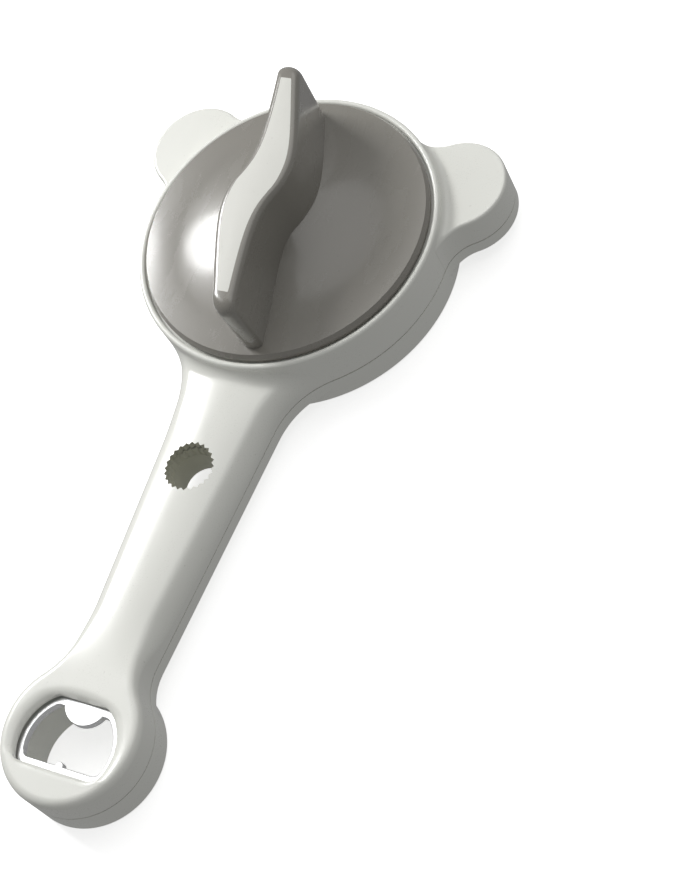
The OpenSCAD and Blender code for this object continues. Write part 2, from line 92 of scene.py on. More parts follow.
class Arm(Enum):
    """The three arms, by the direction in which each points."""

    HANDLE = -90
    RIGHT = 30
    LEFT = 150

    @property
    def turn(self) -> Matrix:
        """Places what is drawn along +X from the middle of the head."""
        return Matrix.Translation(middle("knob_hub")) @ Matrix.Rotation(math.radians(self.value), 4, "Z")

    @property
    def body(self) -> str:
        """Name of the body that slides along this arm."""
        return f"{self.name.lower()}_jaw"

    def node(self, part: str) -> str:
        """Name of this arm's copy of a part."""
        return f"{self.name.lower()}_{part}"


# ---- Shader maths ----


class Value:
    """A shader value on which arithmetic adds Math nodes."""

    def __init__(self, book: "NodeBook", socket: bpy.types.NodeSocket) -> None:
        """Wraps a socket of the book's tree."""
        self.book = book
        self.socket = socket

    def _math(self, operation: str, first: Any, second: Any) -> "Value":
        """Adds one Math node and returns its result."""
        node = self.book.add("ShaderNodeMath", {"operation": operation}, {0: first, 1: second})
        return Value(self.book, node.outputs[0])

    def __add__(self, other: Any) -> "Value":
        """Sum."""
        return self._math("ADD", self, other)

    def __sub__(self, other: Any) -> "Value":
        """Difference."""
        return self._math("SUBTRACT", self, other)

    def __rsub__(self, other: Any) -> "Value":
        """Difference, with the number first."""
        return self._math("SUBTRACT", other, self)

    def __mul__(self, other: Any) -> "Value":
        """Product."""
        return self._math("MULTIPLY", self, other)

    __radd__ = __add__
    __rmul__ = __mul__


class NodeBook:
    """Writes the nodes of one material."""

    def __init__(self, name: str) -> None:
        """Starts an empty material with its Principled shader."""
        self.material = bpy.data.materials.new(name)
        self.material.use_nodes = True
        self.tree = self.material.node_tree
        self.tree.nodes.clear()
        self.shader = self.add("ShaderNodeBsdfPrincipled", {}, {})
        self.add("ShaderNodeOutputMaterial", {}, {"Surface": self.shader.outputs[0]})

    def add(self, kind: str, settings: dict[str, Any], inputs: dict[Any, Any]) -> bpy.types.Node:
        """Adds a node.

        Args:
            kind: The node's type.
            settings: Attributes to set first.
            inputs: Number, colour, Value or socket for each input.

        Returns:
            The new node.
        """
        node = self.tree.nodes.new(kind)
        for key, setting in settings.items():
            setattr(node, key, setting)
        self._feed(node, inputs)
        return node

    def _feed(self, node: bpy.types.Node, inputs: dict[Any, Any]) -> None:
        """Links or sets a node's inputs.

        Args:
            node: The node that takes them.
            inputs: Number, colour, Value or socket for each input.
        """
        for key, given in inputs.items():
            source = given.socket if isinstance(given, Value) else given
            if isinstance(source, bpy.types.NodeSocket):
                self.tree.links.new(source, node.inputs[key])
            else:
                node.inputs[key].default_value = source

    def place(self, scale: Triple, turn: float) -> bpy.types.NodeSocket:
        """Object coordinates in metres, turned about Z and scaled.

        Args:
            scale: Factor along each axis.
            turn: Angle about Z in radians.

        Returns:
            The vector that a texture reads.
        """
        coords = self.add("ShaderNodeTexCoord", {}, {}).outputs["Object"]
        mapping = self.add("ShaderNodeMapping", {}, {0: coords, "Rotation": (0, 0, turn), "Scale": scale})
        return mapping.outputs[0]

    def noise(self, size_mm: float, detail: float = 2.0, stretch: Triple = (1, 1, 1),
              turn: float = 0.0) -> Value:
        """Noise with features of about the given size.

        Args:
            size_mm: Size of a feature in millimetres.
            detail: Octaves of finer noise.
            stretch: Factor along each axis; a small one draws the noise out.
            turn: Angle about Z in radians.

        Returns:
            The noise, from 0 to 1.
        """
        scale = tuple(axis / (size_mm * MM) for axis in stretch)
        inputs = {"Vector": self.place(scale, turn), "Scale": 1.0, "Detail": detail}
        node = self.add("ShaderNodeTexNoise", {}, inputs)
        return Value(self, node.outputs["Fac"])

    def blend(self, factor: Value, first: Colour, second: Colour) -> bpy.types.NodeSocket:
        """Colour between two colours.

        Args:
            factor: Share of the second colour.
            first: Colour at 0.
            second: Colour at 1.

        Returns:
            The colour socket.
        """
        inputs = {0: factor, 6: (*first, 1), 7: (*second, 1)}
        return self.add("ShaderNodeMix", {"data_type": "RGBA"}, inputs).outputs[2]

    def window(self, value: Value, start: float, end: float) -> Value:
        """0 below start, 1 above end and smooth between.

        Args:
            value: The value to test.
            start: Where the rise begins.
            end: Where it ends.

        Returns:
            The stepped value.
        """
        inputs = {0: value, 1: start, 2: end, 3: 0.0, 4: 1.0}
        node = self.add("ShaderNodeMapRange", {"interpolation_type": "SMOOTHSTEP"}, inputs)
        return Value(self, node.outputs[0])

    def bump(self, height: Value, depth_mm: float) -> bpy.types.NodeSocket:
        """Normal of a surface with the given relief.

        Args:
            height: The relief, from 0 to 1.
            depth_mm: Its depth in millimetres.

        Returns:
            The normal socket.
        """
        inputs = {"Height": height, "Distance": depth_mm * MM, "Strength": 1.0}
        return self.add("ShaderNodeBump", {}, inputs).outputs[0]

    def finish(self, settings: dict[str, Any]) -> bpy.types.Material:
        """Sets or links the shader's sockets and returns the material."""
        self._feed(self.shader, settings)
        return self.material


def shade(colour: Colour, factor: float) -> Colour:
    """The colour made lighter or darker."""
    return tuple(channel * factor for channel in colour)


@dataclass(frozen=True)
class Moulded:
    """Moulded plastic: a fine spark-eroded texture, faint flow clouds and handling marks."""

    name: str
    colour: Colour
    roughness: float
    coat: float = 0.0
    cloud_mm: float = 26.0
    grain_mm: float = 0.35
    grain_depth: float = 0.004
    cloud_depth: float = 0.05

    def material(self) -> bpy.types.Material:
        """Builds the plastic.

        Returns:
            The finished material.
        """
        book = NodeBook(self.name)
        clouds = book.noise(self.cloud_mm, 3.0)
        grain = book.noise(self.grain_mm, 3.0)
        smears = book.window(book.noise(9.0, 4.0, (1.0, 0.35, 1.0), 0.5), 0.45, 0.75)
        specks = book.window(book.noise(0.9, 1.0), 0.74, 0.8)
        depth = self.cloud_depth
        base = book.blend(clouds, shade(self.colour, 1 - depth), shade(self.colour, 1 + depth))
        dust = book.blend(specks * 0.25, (1, 1, 1), (0.55, 0.53, 0.5))
        mix = {"data_type": "RGBA", "blend_type": "MULTIPLY"}
        tint = book.add("ShaderNodeMix", mix, {0: 1.0, 6: base, 7: dust})
        return book.finish({
            "Base Color": tint.outputs[2],
            "Roughness": grain * 0.06 + smears * 0.07 + (self.roughness - 0.05),
            "Coat Weight": self.coat,
            "Coat Roughness": 0.12,
            "Normal": book.bump(grain, self.grain_depth),
        })


class Grain(Enum):
    """How a metal was worked."""

    BRUSHED = (1.0, 0.04, 1.0)
    TUMBLED = (1.0, 1.0, 1.0)


@dataclass(frozen=True)
class Steel:
    """Steel with working marks, thin scratches and a little tarnish."""

    name: str
    colour: Colour
    roughness: float
    grain: Grain = Grain.TUMBLED
    mark_mm: float = 0.25
    depth: float = 0.003

    def material(self) -> bpy.types.Material:
        """Builds the steel.

        Returns:
            The finished material.
        """
        book = NodeBook(self.name)
        marks = book.noise(self.mark_mm, 3.0, self.grain.value, 0.3)
        scratches = book.window(book.noise(0.5, 2.0, (1.0, 0.02, 1.0), 1.1), 0.66, 0.72)
        tarnish = book.window(book.noise(7.0, 4.0), 0.5, 0.8)
        return book.finish({
            "Base Color": book.blend(tarnish, self.colour, shade(self.colour, 0.82)),
            "Metallic": 1.0,
            "Roughness": marks * 0.14 + scratches * 0.1 + tarnish * 0.08 + (self.roughness - 0.07),
            "Normal": book.bump(marks + scratches * -0.8, self.depth),
        })


@dataclass(frozen=True)
class Rubber:
    """Soft black rubber with a bloom of dust."""

    name: str
    colour: Colour
    roughness: float

    def material(self) -> bpy.types.Material:
        """Builds the rubber.

        Returns:
            The finished material.
        """
        book = NodeBook(self.name)
        pores = book.noise(0.2, 3.0)
        bloom = book.window(book.noise(3.0, 4.0), 0.4, 0.75)
        return book.finish({
            "Base Color": book.blend(bloom, self.colour, shade(self.colour, 1.7)),
            "Roughness": bloom * 0.12 + self.roughness,
            "Normal": book.bump(pores, 0.02),
        })


@dataclass(frozen=True)
class Paper:
    """The pale seamless floor."""

    name: str = "floor_paper"
    glow: float = 0.62

    def material(self) -> bpy.types.Material:
        """Builds the paper.

        Returns:
            The finished material.
        """
        book = NodeBook(self.name)
        fibres = book.noise(2.0, 3.0)
        return book.finish({
            "Base Color": book.blend(fibres, (0.9, 0.9, 0.9), (0.93, 0.93, 0.93)),
            "Roughness": 0.9,
            "Emission Color": (1, 1, 1, 1),
            "Emission Strength": self.glow,
        })


@dataclass(frozen=True)
class Finishes:
    """Every finish of the opener."""

    shell: Moulded = Moulded("shell_plastic", (0.79, 0.795, 0.745), 0.3, 0.25, cloud_depth=0.015)
    knob: Moulded = Moulded("knob_plastic", (0.238, 0.227, 0.201), 0.28, 0.7, cloud_depth=0.03)
    # Lighter grey for the grip's flat top: a painted reflection of the softbox on the knob's grey plastic.
    painted_top_sheen: Moulded = Moulded("grip_top_painted_sheen", (0.68, 0.68, 0.635), 0.5, 0.0, cloud_depth=0.02)
    nylon: Moulded = Moulded("nylon", (0.62, 0.6, 0.53), 0.42, 0.0, cloud_mm=8.0)
    # Olive-grey plastic of the cap sleeve; on the white shell's toothed mouth walls it is painted shade inside
    # the hole.
    socket: Moulded = Moulded("socket_plastic_and_mouth_shade", (0.5, 0.5, 0.42), 0.45, 0.0, cloud_mm=5.0)
    bright: Steel = Steel("bright_steel", (0.86, 0.865, 0.87), 0.22, Grain.BRUSHED)
    plated: Steel = Steel("plated_steel", (0.66, 0.67, 0.68), 0.32)
    fastener: Steel = Steel("fastener_steel", (0.6, 0.6, 0.6), 0.28, mark_mm=0.12)
    claw: Steel = Steel("claw_steel", (0.68, 0.69, 0.7), 0.26, Grain.BRUSHED)
    rubber: Rubber = Rubber("grip_rubber", (0.035, 0.035, 0.034), 0.62)


# ---- Solids ----


class Solid:
    """A closed mesh in millimetres that others can join or cut."""

    def __init__(self, bm: bmesh.types.BMesh, place: Optional[Matrix] = None) -> None:
        """Takes over a bmesh and, if a place is given, moves it there."""
        bmesh.ops.remove_doubles(bm, verts=bm.verts, dist=WELD)
        bmesh.ops.recalc_face_normals(bm, faces=bm.faces)
        if place is not None:
            bm.transform(place)
        mesh = bpy.data.meshes.new("solid")
        bm.to_mesh(mesh)
        bm.free()
        self.obj = bpy.data.objects.new("solid", mesh)
        bpy.context.scene.collection.objects.link(self.obj)

    def _combine(self, operation: str, others: Sequence["Solid"]) -> "Solid":
        """Runs one Boolean with each of the others, which are used up.

        Args:
            operation: UNION or DIFFERENCE.
            others: The solids to combine with.

        Returns:
            This solid, changed.
        """
        for other in others:
            step = self.obj.modifiers.new("step", "BOOLEAN")
            step.operation = operation
            step.solver = "MANIFOLD"
            step.object = other.obj
            graph = bpy.context.evaluated_depsgraph_get()
            mesh = bpy.data.meshes.new_from_object(self.obj.evaluated_get(graph))
            self.obj.modifiers.clear()
            self.obj.data = mesh
            bpy.data.objects.remove(other.obj)
        return self

    def join(self, *others: "Solid") -> "Solid":
        """Joins the others to this solid."""
        return self._combine("UNION", others)

    def cut(self, *others: "Solid") -> "Solid":
        """Cuts the others out of this solid."""
        return self._combine("DIFFERENCE", others)

    def piece(self, name: str, finish: bpy.types.Material, body: str, slot: str, *nodes: str,
              crease: float = 32.0) -> bpy.types.Object:
        """Turns the solid into a finished piece of the opener.

        Args:
            name: The piece's name.
            finish: Its material.
            body: The body that it rides on.
            slot: The record's material slot; not used.
            nodes: The frame's nodes that it stands for.
            crease: Angle in degrees above which an edge stays sharp.

        Returns:
            The finished object, in metres.
        """
        self.obj.name = name
        mesh = self.obj.data
        mesh.name = name
        mesh.transform(Matrix.Scale(MM, 4))
        mesh.materials.clear()
        mesh.materials.append(finish)
        mesh.shade_smooth()
        mesh.set_sharp_from_angle(angle=math.radians(crease))
        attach(self.obj, body)
        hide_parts(*nodes)
        LOG.info("%s: %d faces, on %s", name, len(mesh.polygons), body)
        return self.obj


def rod(radius: float, bottom: float, top: float, x: float = 0.0, y: float = 0.0, sides: int = 96,
        bevel: float = 0.0) -> bmesh.types.BMesh:
    """A round bar along Z.

    Args:
        radius: Radius of the bar.
        bottom: Height of its lower end.
        top: Height of its upper end.
        x: Where its axis stands along X.
        y: Where its axis stands along Y.
        sides: Number of flats round it.
        bevel: Size of the bevel on both rims.

    Returns:
        The closed bar.
    """
    bm = bmesh.new()
    bmesh.ops.create_cone(bm, cap_ends=True, segments=sides, radius1=radius, radius2=radius, depth=top - bottom)
    if bevel:
        rims = [edge for edge in bm.edges if abs(edge.verts[0].co.z - edge.verts[1].co.z) < WELD]
        bmesh.ops.bevel(bm, geom=rims, offset=bevel, affect="EDGES", segments=3, profile=0.5, material=-1)
    bmesh.ops.translate(bm, verts=bm.verts, vec=(x, y, (bottom + top) / 2))
    return bm


def bar(x0: float, x1: float, width: float, bottom: float, top: float, bevel: float = 0.0) -> bmesh.types.BMesh:
    """A straight bar along X, centred on Y.

    Args:
        x0: Where it starts.
        x1: Where it ends.
        width: Width along Y.
        bottom: Height of its underside.
        top: Height of its top.
        bevel: Size of the bevel on every edge.

    Returns:
        The closed bar.
    """
    bm = bmesh.new()
    bmesh.ops.create_cube(bm, size=1.0)
    bmesh.ops.scale(bm, verts=bm.verts, vec=(x1 - x0, width, top - bottom))
    bmesh.ops.translate(bm, verts=bm.verts, vec=((x0 + x1) / 2, 0, (bottom + top) / 2))
    if bevel:
        bmesh.ops.bevel(bm, geom=bm.edges, offset=bevel, affect="EDGES", segments=3, profile=0.5, material=-1)
    return bm


def prism(outline: np.ndarray, bottom: float, top: float,
          waist: Optional[np.ndarray] = None) -> bmesh.types.BMesh:
    """An outline raised from bottom to top.

    Args:
        outline: Points in order.
        bottom: Height of the lower face.
        top: Height of the upper face.
        waist: The outline that it has at the bottom instead.

    Returns:
        The closed prism.
    """
    bm = bmesh.new()
    start = outline if waist is None else waist
    face = bm.faces.new([bm.verts.new((x, y, bottom)) for x, y in start])
    raised = bmesh.ops.extrude_face_region(bm, geom=[face], use_keep_orig=True)["geom"]
    lifted = [item for item in raised if isinstance(item, bmesh.types.BMVert)]
    for vert, (x, y) in zip(lifted, outline):
        vert.co = (x, y, top)
    return bm


def turned(profile: Sequence[tuple[float, float]], steps: int = 192) -> bmesh.types.BMesh:
    """A ring or disc turned about Z from a closed profile of radius and height.

    Args:
        profile: Radius and height of each corner, in order.
        steps: Number of steps round Z.

    Returns:
        The closed body.
    """
    bm = bmesh.new()
    verts = [bm.verts.new((radius, 0, height)) for radius, height in profile]
    pairs = [(verts[k - 1], verts[k]) for k in range(len(verts))]
    edges = [bm.edges.new(pair) for pair in pairs if pair[0].co.x + pair[1].co.x > WELD]
    bmesh.ops.spin(bm, geom=verts + edges, cent=(0, 0, 0), axis=(0, 0, 1), angle=math.tau, steps=steps,
                   use_merge=True)
    bmesh.ops.dissolve_degenerate(bm, dist=WELD, edges=bm.edges)
    return bm


def arc(centre: Pair, radius: float, start: float, end: float, steps: int = 160) -> np.ndarray:
    """Points on an arc.

    Args:
        centre: Centre of the arc.
        radius: Its radius.
        start: Angle of the first point in radians.
        end: Angle of the last point in radians.
        steps: Number of steps between them.

    Returns:
        The points in order.
    """
    angles = np.linspace(start, end, steps + 1)
    return np.column_stack([centre[0] + radius * np.cos(angles), centre[1] + radius * np.sin(angles)])


def flatted(radius: float, shift: float, top: float, depth: float, corners: Pair) -> np.ndarray:
    """Right half of a circle with a flat above and a flat below, from the lower flat to the upper one.

    Args:
        radius: Radius of the circle.
        shift: How far the circle's centre lies below the origin.
        top: Height of the upper flat over the origin.
        depth: Depth of the lower flat under the origin.
        corners: Radii of the corners at the lower and the upper flat.

    Returns:
        Points in order, with y upwards.
    """
    small, large = corners
    centres = []
    for corner, y in ((small, small - depth), (large, top - large)):
        rise = y + shift
        centres.append((math.sqrt((radius - corner) ** 2 - rise * rise), y))
    angles = [math.atan2(y + shift, x) for x, y in centres]
    return np.vstack([
        arc(centres[0], small, -math.pi / 2, angles[0], 12),
        arc((0, -shift), radius, angles[0], angles[1], 64)[1:-1],
        arc(centres[1], large, angles[1], math.pi / 2, 16),
    ])


def mirrored(right: np.ndarray) -> np.ndarray:
    """A closed outline from its right half."""
    return np.vstack([right, right[::-1] * (-1, 1)])


def ease(value: Union[float, np.ndarray]) -> np.ndarray:
    """Smooth step from 0 to 1."""
    held = np.clip(value, 0.0, 1.0)
    return held * held * (3 - 2 * held)


def rounded(edge: np.ndarray, radius: Union[float, np.ndarray]) -> np.ndarray:
    """How far a rounded edge lies below the flat at a distance from the outline."""
    short = radius - np.clip(edge, 0.0, radius)
    return radius - np.sqrt(radius * radius - short * short)


# ---- Arms ----


@dataclass(frozen=True)
class LobeOutline:
    """Plan of a side lobe: a round tip with a fillet to the head."""

    head_r: float = 49.0
    tip_d: float = 53.5
    tip_r: float = 15.6
    fillet: float = 12.0

    def _fillet(self) -> tuple[Pair, float, float]:
        """Works out the fillet between the head and the tip.

        Returns:
            Its centre and the angles where it starts and ends.
        """
        reach = self.head_r + self.fillet
        gap = self.tip_r + self.fillet
        d = (self.tip_d ** 2 + reach ** 2 - gap ** 2) / (2 * self.tip_d)
        centre = (d, math.sqrt(reach * reach - d * d))
        return centre, math.atan2(-centre[1], -d), math.atan2(-centre[1], self.tip_d - d)

    def side(self, inset: float) -> np.ndarray:
        """One side of the outline, set in, from the head to the tip.

        Args:
            inset: How far it is set in.

        Returns:
            Points in order.
        """
        centre, start, end = self._fillet()
        tip = arc((self.tip_d, 0), self.tip_r - inset, end + math.pi, 0)
        return np.vstack([arc(centre, self.fillet + inset, start, end)[:-1], tip])

    def edge(self, d: np.ndarray, x: np.ndarray) -> np.ndarray:
        """Distance of points inside the outline from it.

        Args:
            d: Distances of the points along the arm.
            x: Their distances across it.

        Returns:
            The distances to the outline.
        """
        centre, _, end = self._fillet()
        dx, dy = d - centre[0], np.abs(x) - centre[1]
        near = np.arctan2(dy, dx) < end
        return np.where(near, np.hypot(dx, dy) - self.fillet, self.tip_r - np.hypot(d - self.tip_d, x))


@dataclass(frozen=True)
class HandleOutline:
    """Plan of the handle: tapered sides with fillets to the head and to the round opener end."""

    head_r: float = 49.0
    tip_d: float = 166.0
    tip_r: float = 22.0
    root_d: float = 60.0
    root_w: float = 16.8
    slope: float = -5.0 / 86.0
    neck_fillet: float = 27.0
    tail_fillet: float = 17.0

    def half_width(self, d: np.ndarray) -> np.ndarray:
        """Half width of the tapered part."""
        return self.root_w + self.slope * (d - self.root_d)

    def _fillet(self, circle_d: float, circle_r: float, fillet: float, way: int) -> Pair:
        """Finds the middle of a fillet between a circle and the tapered side.

        Args:
            circle_d: Where the circle's centre lies along the arm.
            circle_r: Radius of the circle.
            fillet: Radius of the fillet.
            way: 1 on the circle's far side, -1 on its near side.

        Returns:
            Place along the arm and across it.
        """
        base = float(self.half_width(circle_d)) + fillet * math.hypot(1, self.slope)
        a = 1 + self.slope ** 2
        b = base * self.slope
        c = base ** 2 - (circle_r + fillet) ** 2
        t = (-b + way * math.sqrt(b * b - a * c)) / a
        return circle_d + t, base + self.slope * t

    def _parts(self) -> tuple[Pair, Pair, float, float]:
        """Works out both fillets.

        Returns:
            Centre of the neck's fillet, centre of the tail's, the angle where each meets the straight side,
            and the angle where the tail's meets the tip.
        """
        neck = self._fillet(0.0, self.head_r, self.neck_fillet, 1)
        tail = self._fillet(self.tip_d, self.tip_r, self.tail_fillet, -1)
        return neck, tail, math.atan2(-1, self.slope), math.atan2(-tail[1], self.tip_d - tail[0])

    def side(self, inset: float) -> np.ndarray:
        """One side of the outline, set in, from the head to the tip.

        Args:
            inset: How far it is set in.

        Returns:
            Points in order.
        """
        neck, tail, square, last = self._parts()
        root = arc(neck, self.neck_fillet + inset, math.atan2(-neck[1], -neck[0]), square)
        curl = arc(tail, self.tail_fillet + inset, square, last)
        straight = np.linspace(root[-1], curl[0], 80)[1:-1]
        tip = arc((self.tip_d, 0), self.tip_r - inset, last + math.pi, 0)
        return np.vstack([root, straight, curl[:-1], tip])

    def edge(self, d: np.ndarray, x: np.ndarray) -> np.ndarray:
        """Distance of points inside the outline from it.

        Args:
            d: Distances of the points along the arm.
            x: Their distances across it.

        Returns:
            The distances to the outline.
        """
        neck, tail, square, last = self._parts()
        wide = np.abs(x)
        at_neck = np.arctan2(wide - neck[1], d - neck[0])
        at_tail = np.arctan2(wide - tail[1], d - tail[0])
        straight = (self.half_width(d) - wide) / math.hypot(1, self.slope)
        tail_part = np.where(at_tail < last, np.hypot(d - tail[0], wide - tail[1]) - self.tail_fillet,
                             self.tip_r - np.hypot(d - self.tip_d, wide))
        neck_part = np.hypot(d - neck[0], wide - neck[1]) - self.neck_fillet
        return np.where(at_neck < square, neck_part, np.where(at_tail < square, straight, tail_part))


Outline = Union[LobeOutline, HandleOutline]


@dataclass(frozen=True)
class ArmGrid:
    """A closed solid over an arm's plan, as a grid of arcs about the middle of the head."""

    outline: Outline
    inset: float = 0.0
    start: float = 47.6
    wall: float = 48.9
    fine: float = 9.0
    pitch: float = 0.8
    across: int = 84

    def _stations(self) -> np.ndarray:
        """Distances of the arcs: close together at the head's wall and at the tip.

        Returns:
            The distances in order.
        """
        tip = self.outline.tip_d + self.outline.tip_r - self.inset
        round_start = tip - (self.outline.tip_r - self.inset)
        near = self.wall + self.fine * (1 - np.cos(np.linspace(0, math.pi / 2, 15)))
        ends = tip - (tip - round_start) * (1 - np.sin(np.linspace(0, math.pi / 2, 42)))
        body = np.arange(near[-1] + self.pitch, round_start, self.pitch) if round_start > near[-1] else []
        return np.unique(np.round(np.concatenate([[self.start], near, body, ends[ends > near[-1]]]), 6))

    def solid(self, top: HeightRule, bottom: float, flip: bool = False,
              place: Optional[Matrix] = None) -> Solid:
        """Builds the solid.

        Args:
            top: Height of the top at points (d, x) with a distance from the outline.
            bottom: Height of the flat underside.
            flip: Turns the solid over, so that the shaped side is underneath.
            place: Where the solid goes.

        Returns:
            The closed solid.
        """
        rings = self._stations()
        side = self.outline.side(self.inset)
        spread = np.interp(rings, np.hypot(*side.T), np.arctan2(side[:, 1], side[:, 0]))
        bm = bmesh.new()
        bmesh.ops.create_grid(bm, x_segments=len(rings) - 1, y_segments=self.across, size=1.0)
        flat = np.array([vert.co[:2] for vert in bm.verts])
        along = np.rint((flat[:, 0] + 1) / 2 * (len(rings) - 1)).astype(int)
        turn = np.sin(flat[:, 1] * math.pi / 2) * spread[along]
        d, x = rings[along] * np.cos(turn), rings[along] * np.sin(turn)
        outer = (np.abs(flat[:, 1]) > 1 - WELD) & (rings[along] > self.wall)
        edge = np.where(outer, 0.0, np.maximum(self.outline.edge(d, x), 0.0))
        heights = top(np.column_stack([d, x]), edge)
        for vert, place_xyz in zip(bm.verts, zip(d, x, heights)):
            vert.co = place_xyz
        bmesh.ops.remove_doubles(bm, verts=bm.verts, dist=WELD)
        rim = [edge for edge in bm.edges if edge.is_boundary]
        lowered = bmesh.ops.extrude_edge_only(bm, edges=rim)["geom"]
        for item in lowered:
            if isinstance(item, bmesh.types.BMVert):
                item.co.z = bottom
        base = [edge for edge in bm.edges if edge.is_boundary]
        bmesh.ops.edgeloop_fill(bm, edges=base)
        if flip:
            bmesh.ops.scale(bm, verts=bm.verts, vec=(1, 1, -1))
        return Solid(bm, place)


# ---- The two shells ----


@dataclass(frozen=True)
class Teeth:
    """The ring of teeth in the cap socket."""

    count: int = 24
    crest_r: float = 7.2
    root_r: float = 8.0

    def ring(self) -> np.ndarray:
        """Directions of the points, two to each tooth."""
        angles = np.arange(2 * self.count) * math.pi / self.count
        return np.column_stack([np.cos(angles), np.sin(angles)])

    def outline(self) -> np.ndarray:
        """Closed outline that goes from root to crest in turn."""
        return self.ring() * np.where(np.arange(2 * self.count) % 2, self.crest_r, self.root_r)[:, None]


@dataclass
class Housing:
    """The white body: a top shell, a bottom shell and the screws that hold them together."""

    head_r: float = 49.0
    wall: float = 2.4
    ring_in: float = 0.1
    rim_w: float = 2.1
    rim_sink: float = 0.8
    rim_over: float = 0.04
    bush_r: float = 11.0
    ceiling: float = 17.1
    lobe_z: float = 19.5
    crest_z: float = 19.25
    dome_r: float = 32.0
    handle_round: float = 5.2
    boss_round: float = 2.6
    lobe_round: float = 1.0
    lobe_rise: float = 2.0
    lobe_start: float = 0.12
    neck_rise: float = 4.2
    neck_start: float = 0.35
    neck_over: float = 26.0
    neck_flat: float = 0.55
    end_from: float = 40.0
    end_over: float = 24.0
    foot_round: float = 1.3
    floor_z: float = 4.0
    web_z: float = 7.6
    deck: Pair = (20.6, 22.2)
    skirt_w: float = 3.0
    skirt_foot: float = 0.9
    skirt_heel: float = 0.6
    reveal: float = 0.42
    reveal_in: float = 0.8
    channel: Pair = (13.2, 55.0)
    channel_back: float = 2.0
    slot: Pair = (6.4, 54.5)
    slot_from: float = 10.0
    slot_low: float = 2.0
    screw_well_r: float = 2.7
    screw_head_r: float = 2.5
    shank_r: float = 1.25
    screw_seat: float = 5.8
    frame_r: float = 15.7
    frame_shift: float = 3.5
    frame_top: float = 9.7
    frame_low: float = 11.5
    frame_corners: Pair = (1.4, 3.4)
    frame_corner: float = 2.5
    slope_w: float = 4.2
    slope_drop: float = 2.0
    slope_from: float = 25.0
    steep_share: float = 0.35
    steep_band: float = 1.5
    slot_h: float = 0.8
    slot_in: float = 1.5
    well_r: float = 15.2
    well_shift: float = 2.8
    plug_foot: float = 1.0
    plug_gap: float = 0.15
    socket_clear_r: float = 9.0
    teeth: Teeth = Teeth()

    def __post_init__(self) -> None:
        """Reads the heights that the frame fixes."""
        self.parting = low("top_shell").z
        self.rim_top = high("top_shell").z - self.rim_sink
        self.plate_top = high("opener_plate").z
        self.plate_low = low("opener_plate").z
        self.boss = middle("opener_plate")
        self.head = Matrix.Translation(middle("knob_hub"))
        self.socket = Matrix.Translation(middle("cap_socket"))
        self.outlines: dict[Arm, Outline] = {
            Arm.HANDLE: HandleOutline(), Arm.RIGHT: LobeOutline(), Arm.LEFT: LobeOutline()}

    def frame_edge(self, d: np.ndarray, x: np.ndarray) -> np.ndarray:
        """Distance outside the opening in the opener end.

        Args:
            d: Distances of the points along the handle.
            x: Their distances across it.

        Returns:
            The distances to the opening, below 0 inside it.
        """
        y = self.outlines[Arm.HANDLE].tip_d - d
        corner = self.frame_corner
        ring = np.hypot(x, y + self.frame_shift) - self.frame_r + corner
        cap = np.maximum(y - self.frame_top, -y - self.frame_low) + corner
        outside = np.hypot(np.maximum(ring, 0), np.maximum(cap, 0))
        return outside + np.minimum(np.maximum(ring, cap), 0) - corner

    def lobe_top(self, places: np.ndarray, edge: np.ndarray) -> np.ndarray:
        """Height of a side lobe's top."""
        ring = np.hypot(*places.T) - (self.head_r - self.ring_in)
        return self.lobe_z - rounded(edge, self.lobe_round) + rounded(ring + self.lobe_start, self.lobe_rise)

    def handle_top(self, places: np.ndarray, edge: np.ndarray) -> np.ndarray:
        """Height of the handle and the opener end, with the slope round the opening.

        Args:
            places: The points, along the handle and across it.
            edge: Their distances from the outline.

        Returns:
            The heights.
        """
        d, x = places.T
        outline = self.outlines[Arm.HANDLE]
        end = ease((d - (outline.tip_d - self.end_from)) / self.end_over)
        neck = 1 - ease((d - self.head_r) / self.neck_over)
        dome = (1 - end) * (1 - self.neck_flat * neck) * x * x / (2 * self.dome_r)
        radius = self.handle_round + (self.boss_round - self.handle_round) * end
        ring = np.hypot(d, x) - (self.head_r - self.ring_in)
        rise = rounded(ring + self.neck_start, self.neck_rise)
        top = self.crest_z + (self.lobe_z - self.crest_z) * end - dome - rounded(edge, radius) + rise
        steep = np.where(outline.tip_d - d < self.steep_band - self.frame_low, self.steep_share, 1.0)
        away = np.clip(self.frame_edge(d, x) / (self.slope_w * steep), 0, 1)
        slope = self.slope_drop * (1 - np.sqrt(np.maximum(0, 1 - (1 - away) ** 2)))
        return top - slope * (d > outline.tip_d - self.slope_from)

    def tops(self) -> dict[Arm, HeightRule]:
        """Height rule of each arm."""
        return {Arm.HANDLE: self.handle_top, Arm.RIGHT: self.lobe_top, Arm.LEFT: self.lobe_top}

    def opening(self, bottom: float, top: float, grow: float = 0.0) -> Solid:
        """Cutter for the opening over the steel plate, with its corners rounded.

        Args:
            bottom: Height of its lower face.
            top: Height of its upper face.
            grow: How much wider it is all round.

        Returns:
            The cutter in its place.
        """
        right = flatted(self.frame_r + grow, self.frame_shift, self.frame_top + grow, self.frame_low + grow,
                        self.frame_corners)
        return Solid(prism(mirrored(right), bottom, top), Matrix.Translation(self.boss))

    def toothed_hole(self, bottom: float, top: float) -> Solid:
        """Cutter for the toothed mouth of the cap socket."""
        return Solid(prism(self.teeth.outline(), bottom, top), self.socket)

    def sunk(self, rule: HeightRule) -> HeightRule:
        """Gives the height rule of the hollow under an arm.

        Args:
            rule: Height rule of the arm's top.

        Returns:
            The rule of the hollow's ceiling, one wall lower.
        """
        def ceiling(places: np.ndarray, edge: np.ndarray) -> np.ndarray:
            """Height of the hollow's ceiling."""
            return np.minimum(rule(places, edge) - self.wall, self.ceiling)

        return ceiling

    def foot_height(self, places: np.ndarray, edge: np.ndarray) -> np.ndarray:
        """Height of an arm's rounded underside, drawn upside down."""
        return -rounded(edge, self.foot_round) - self.floor_z

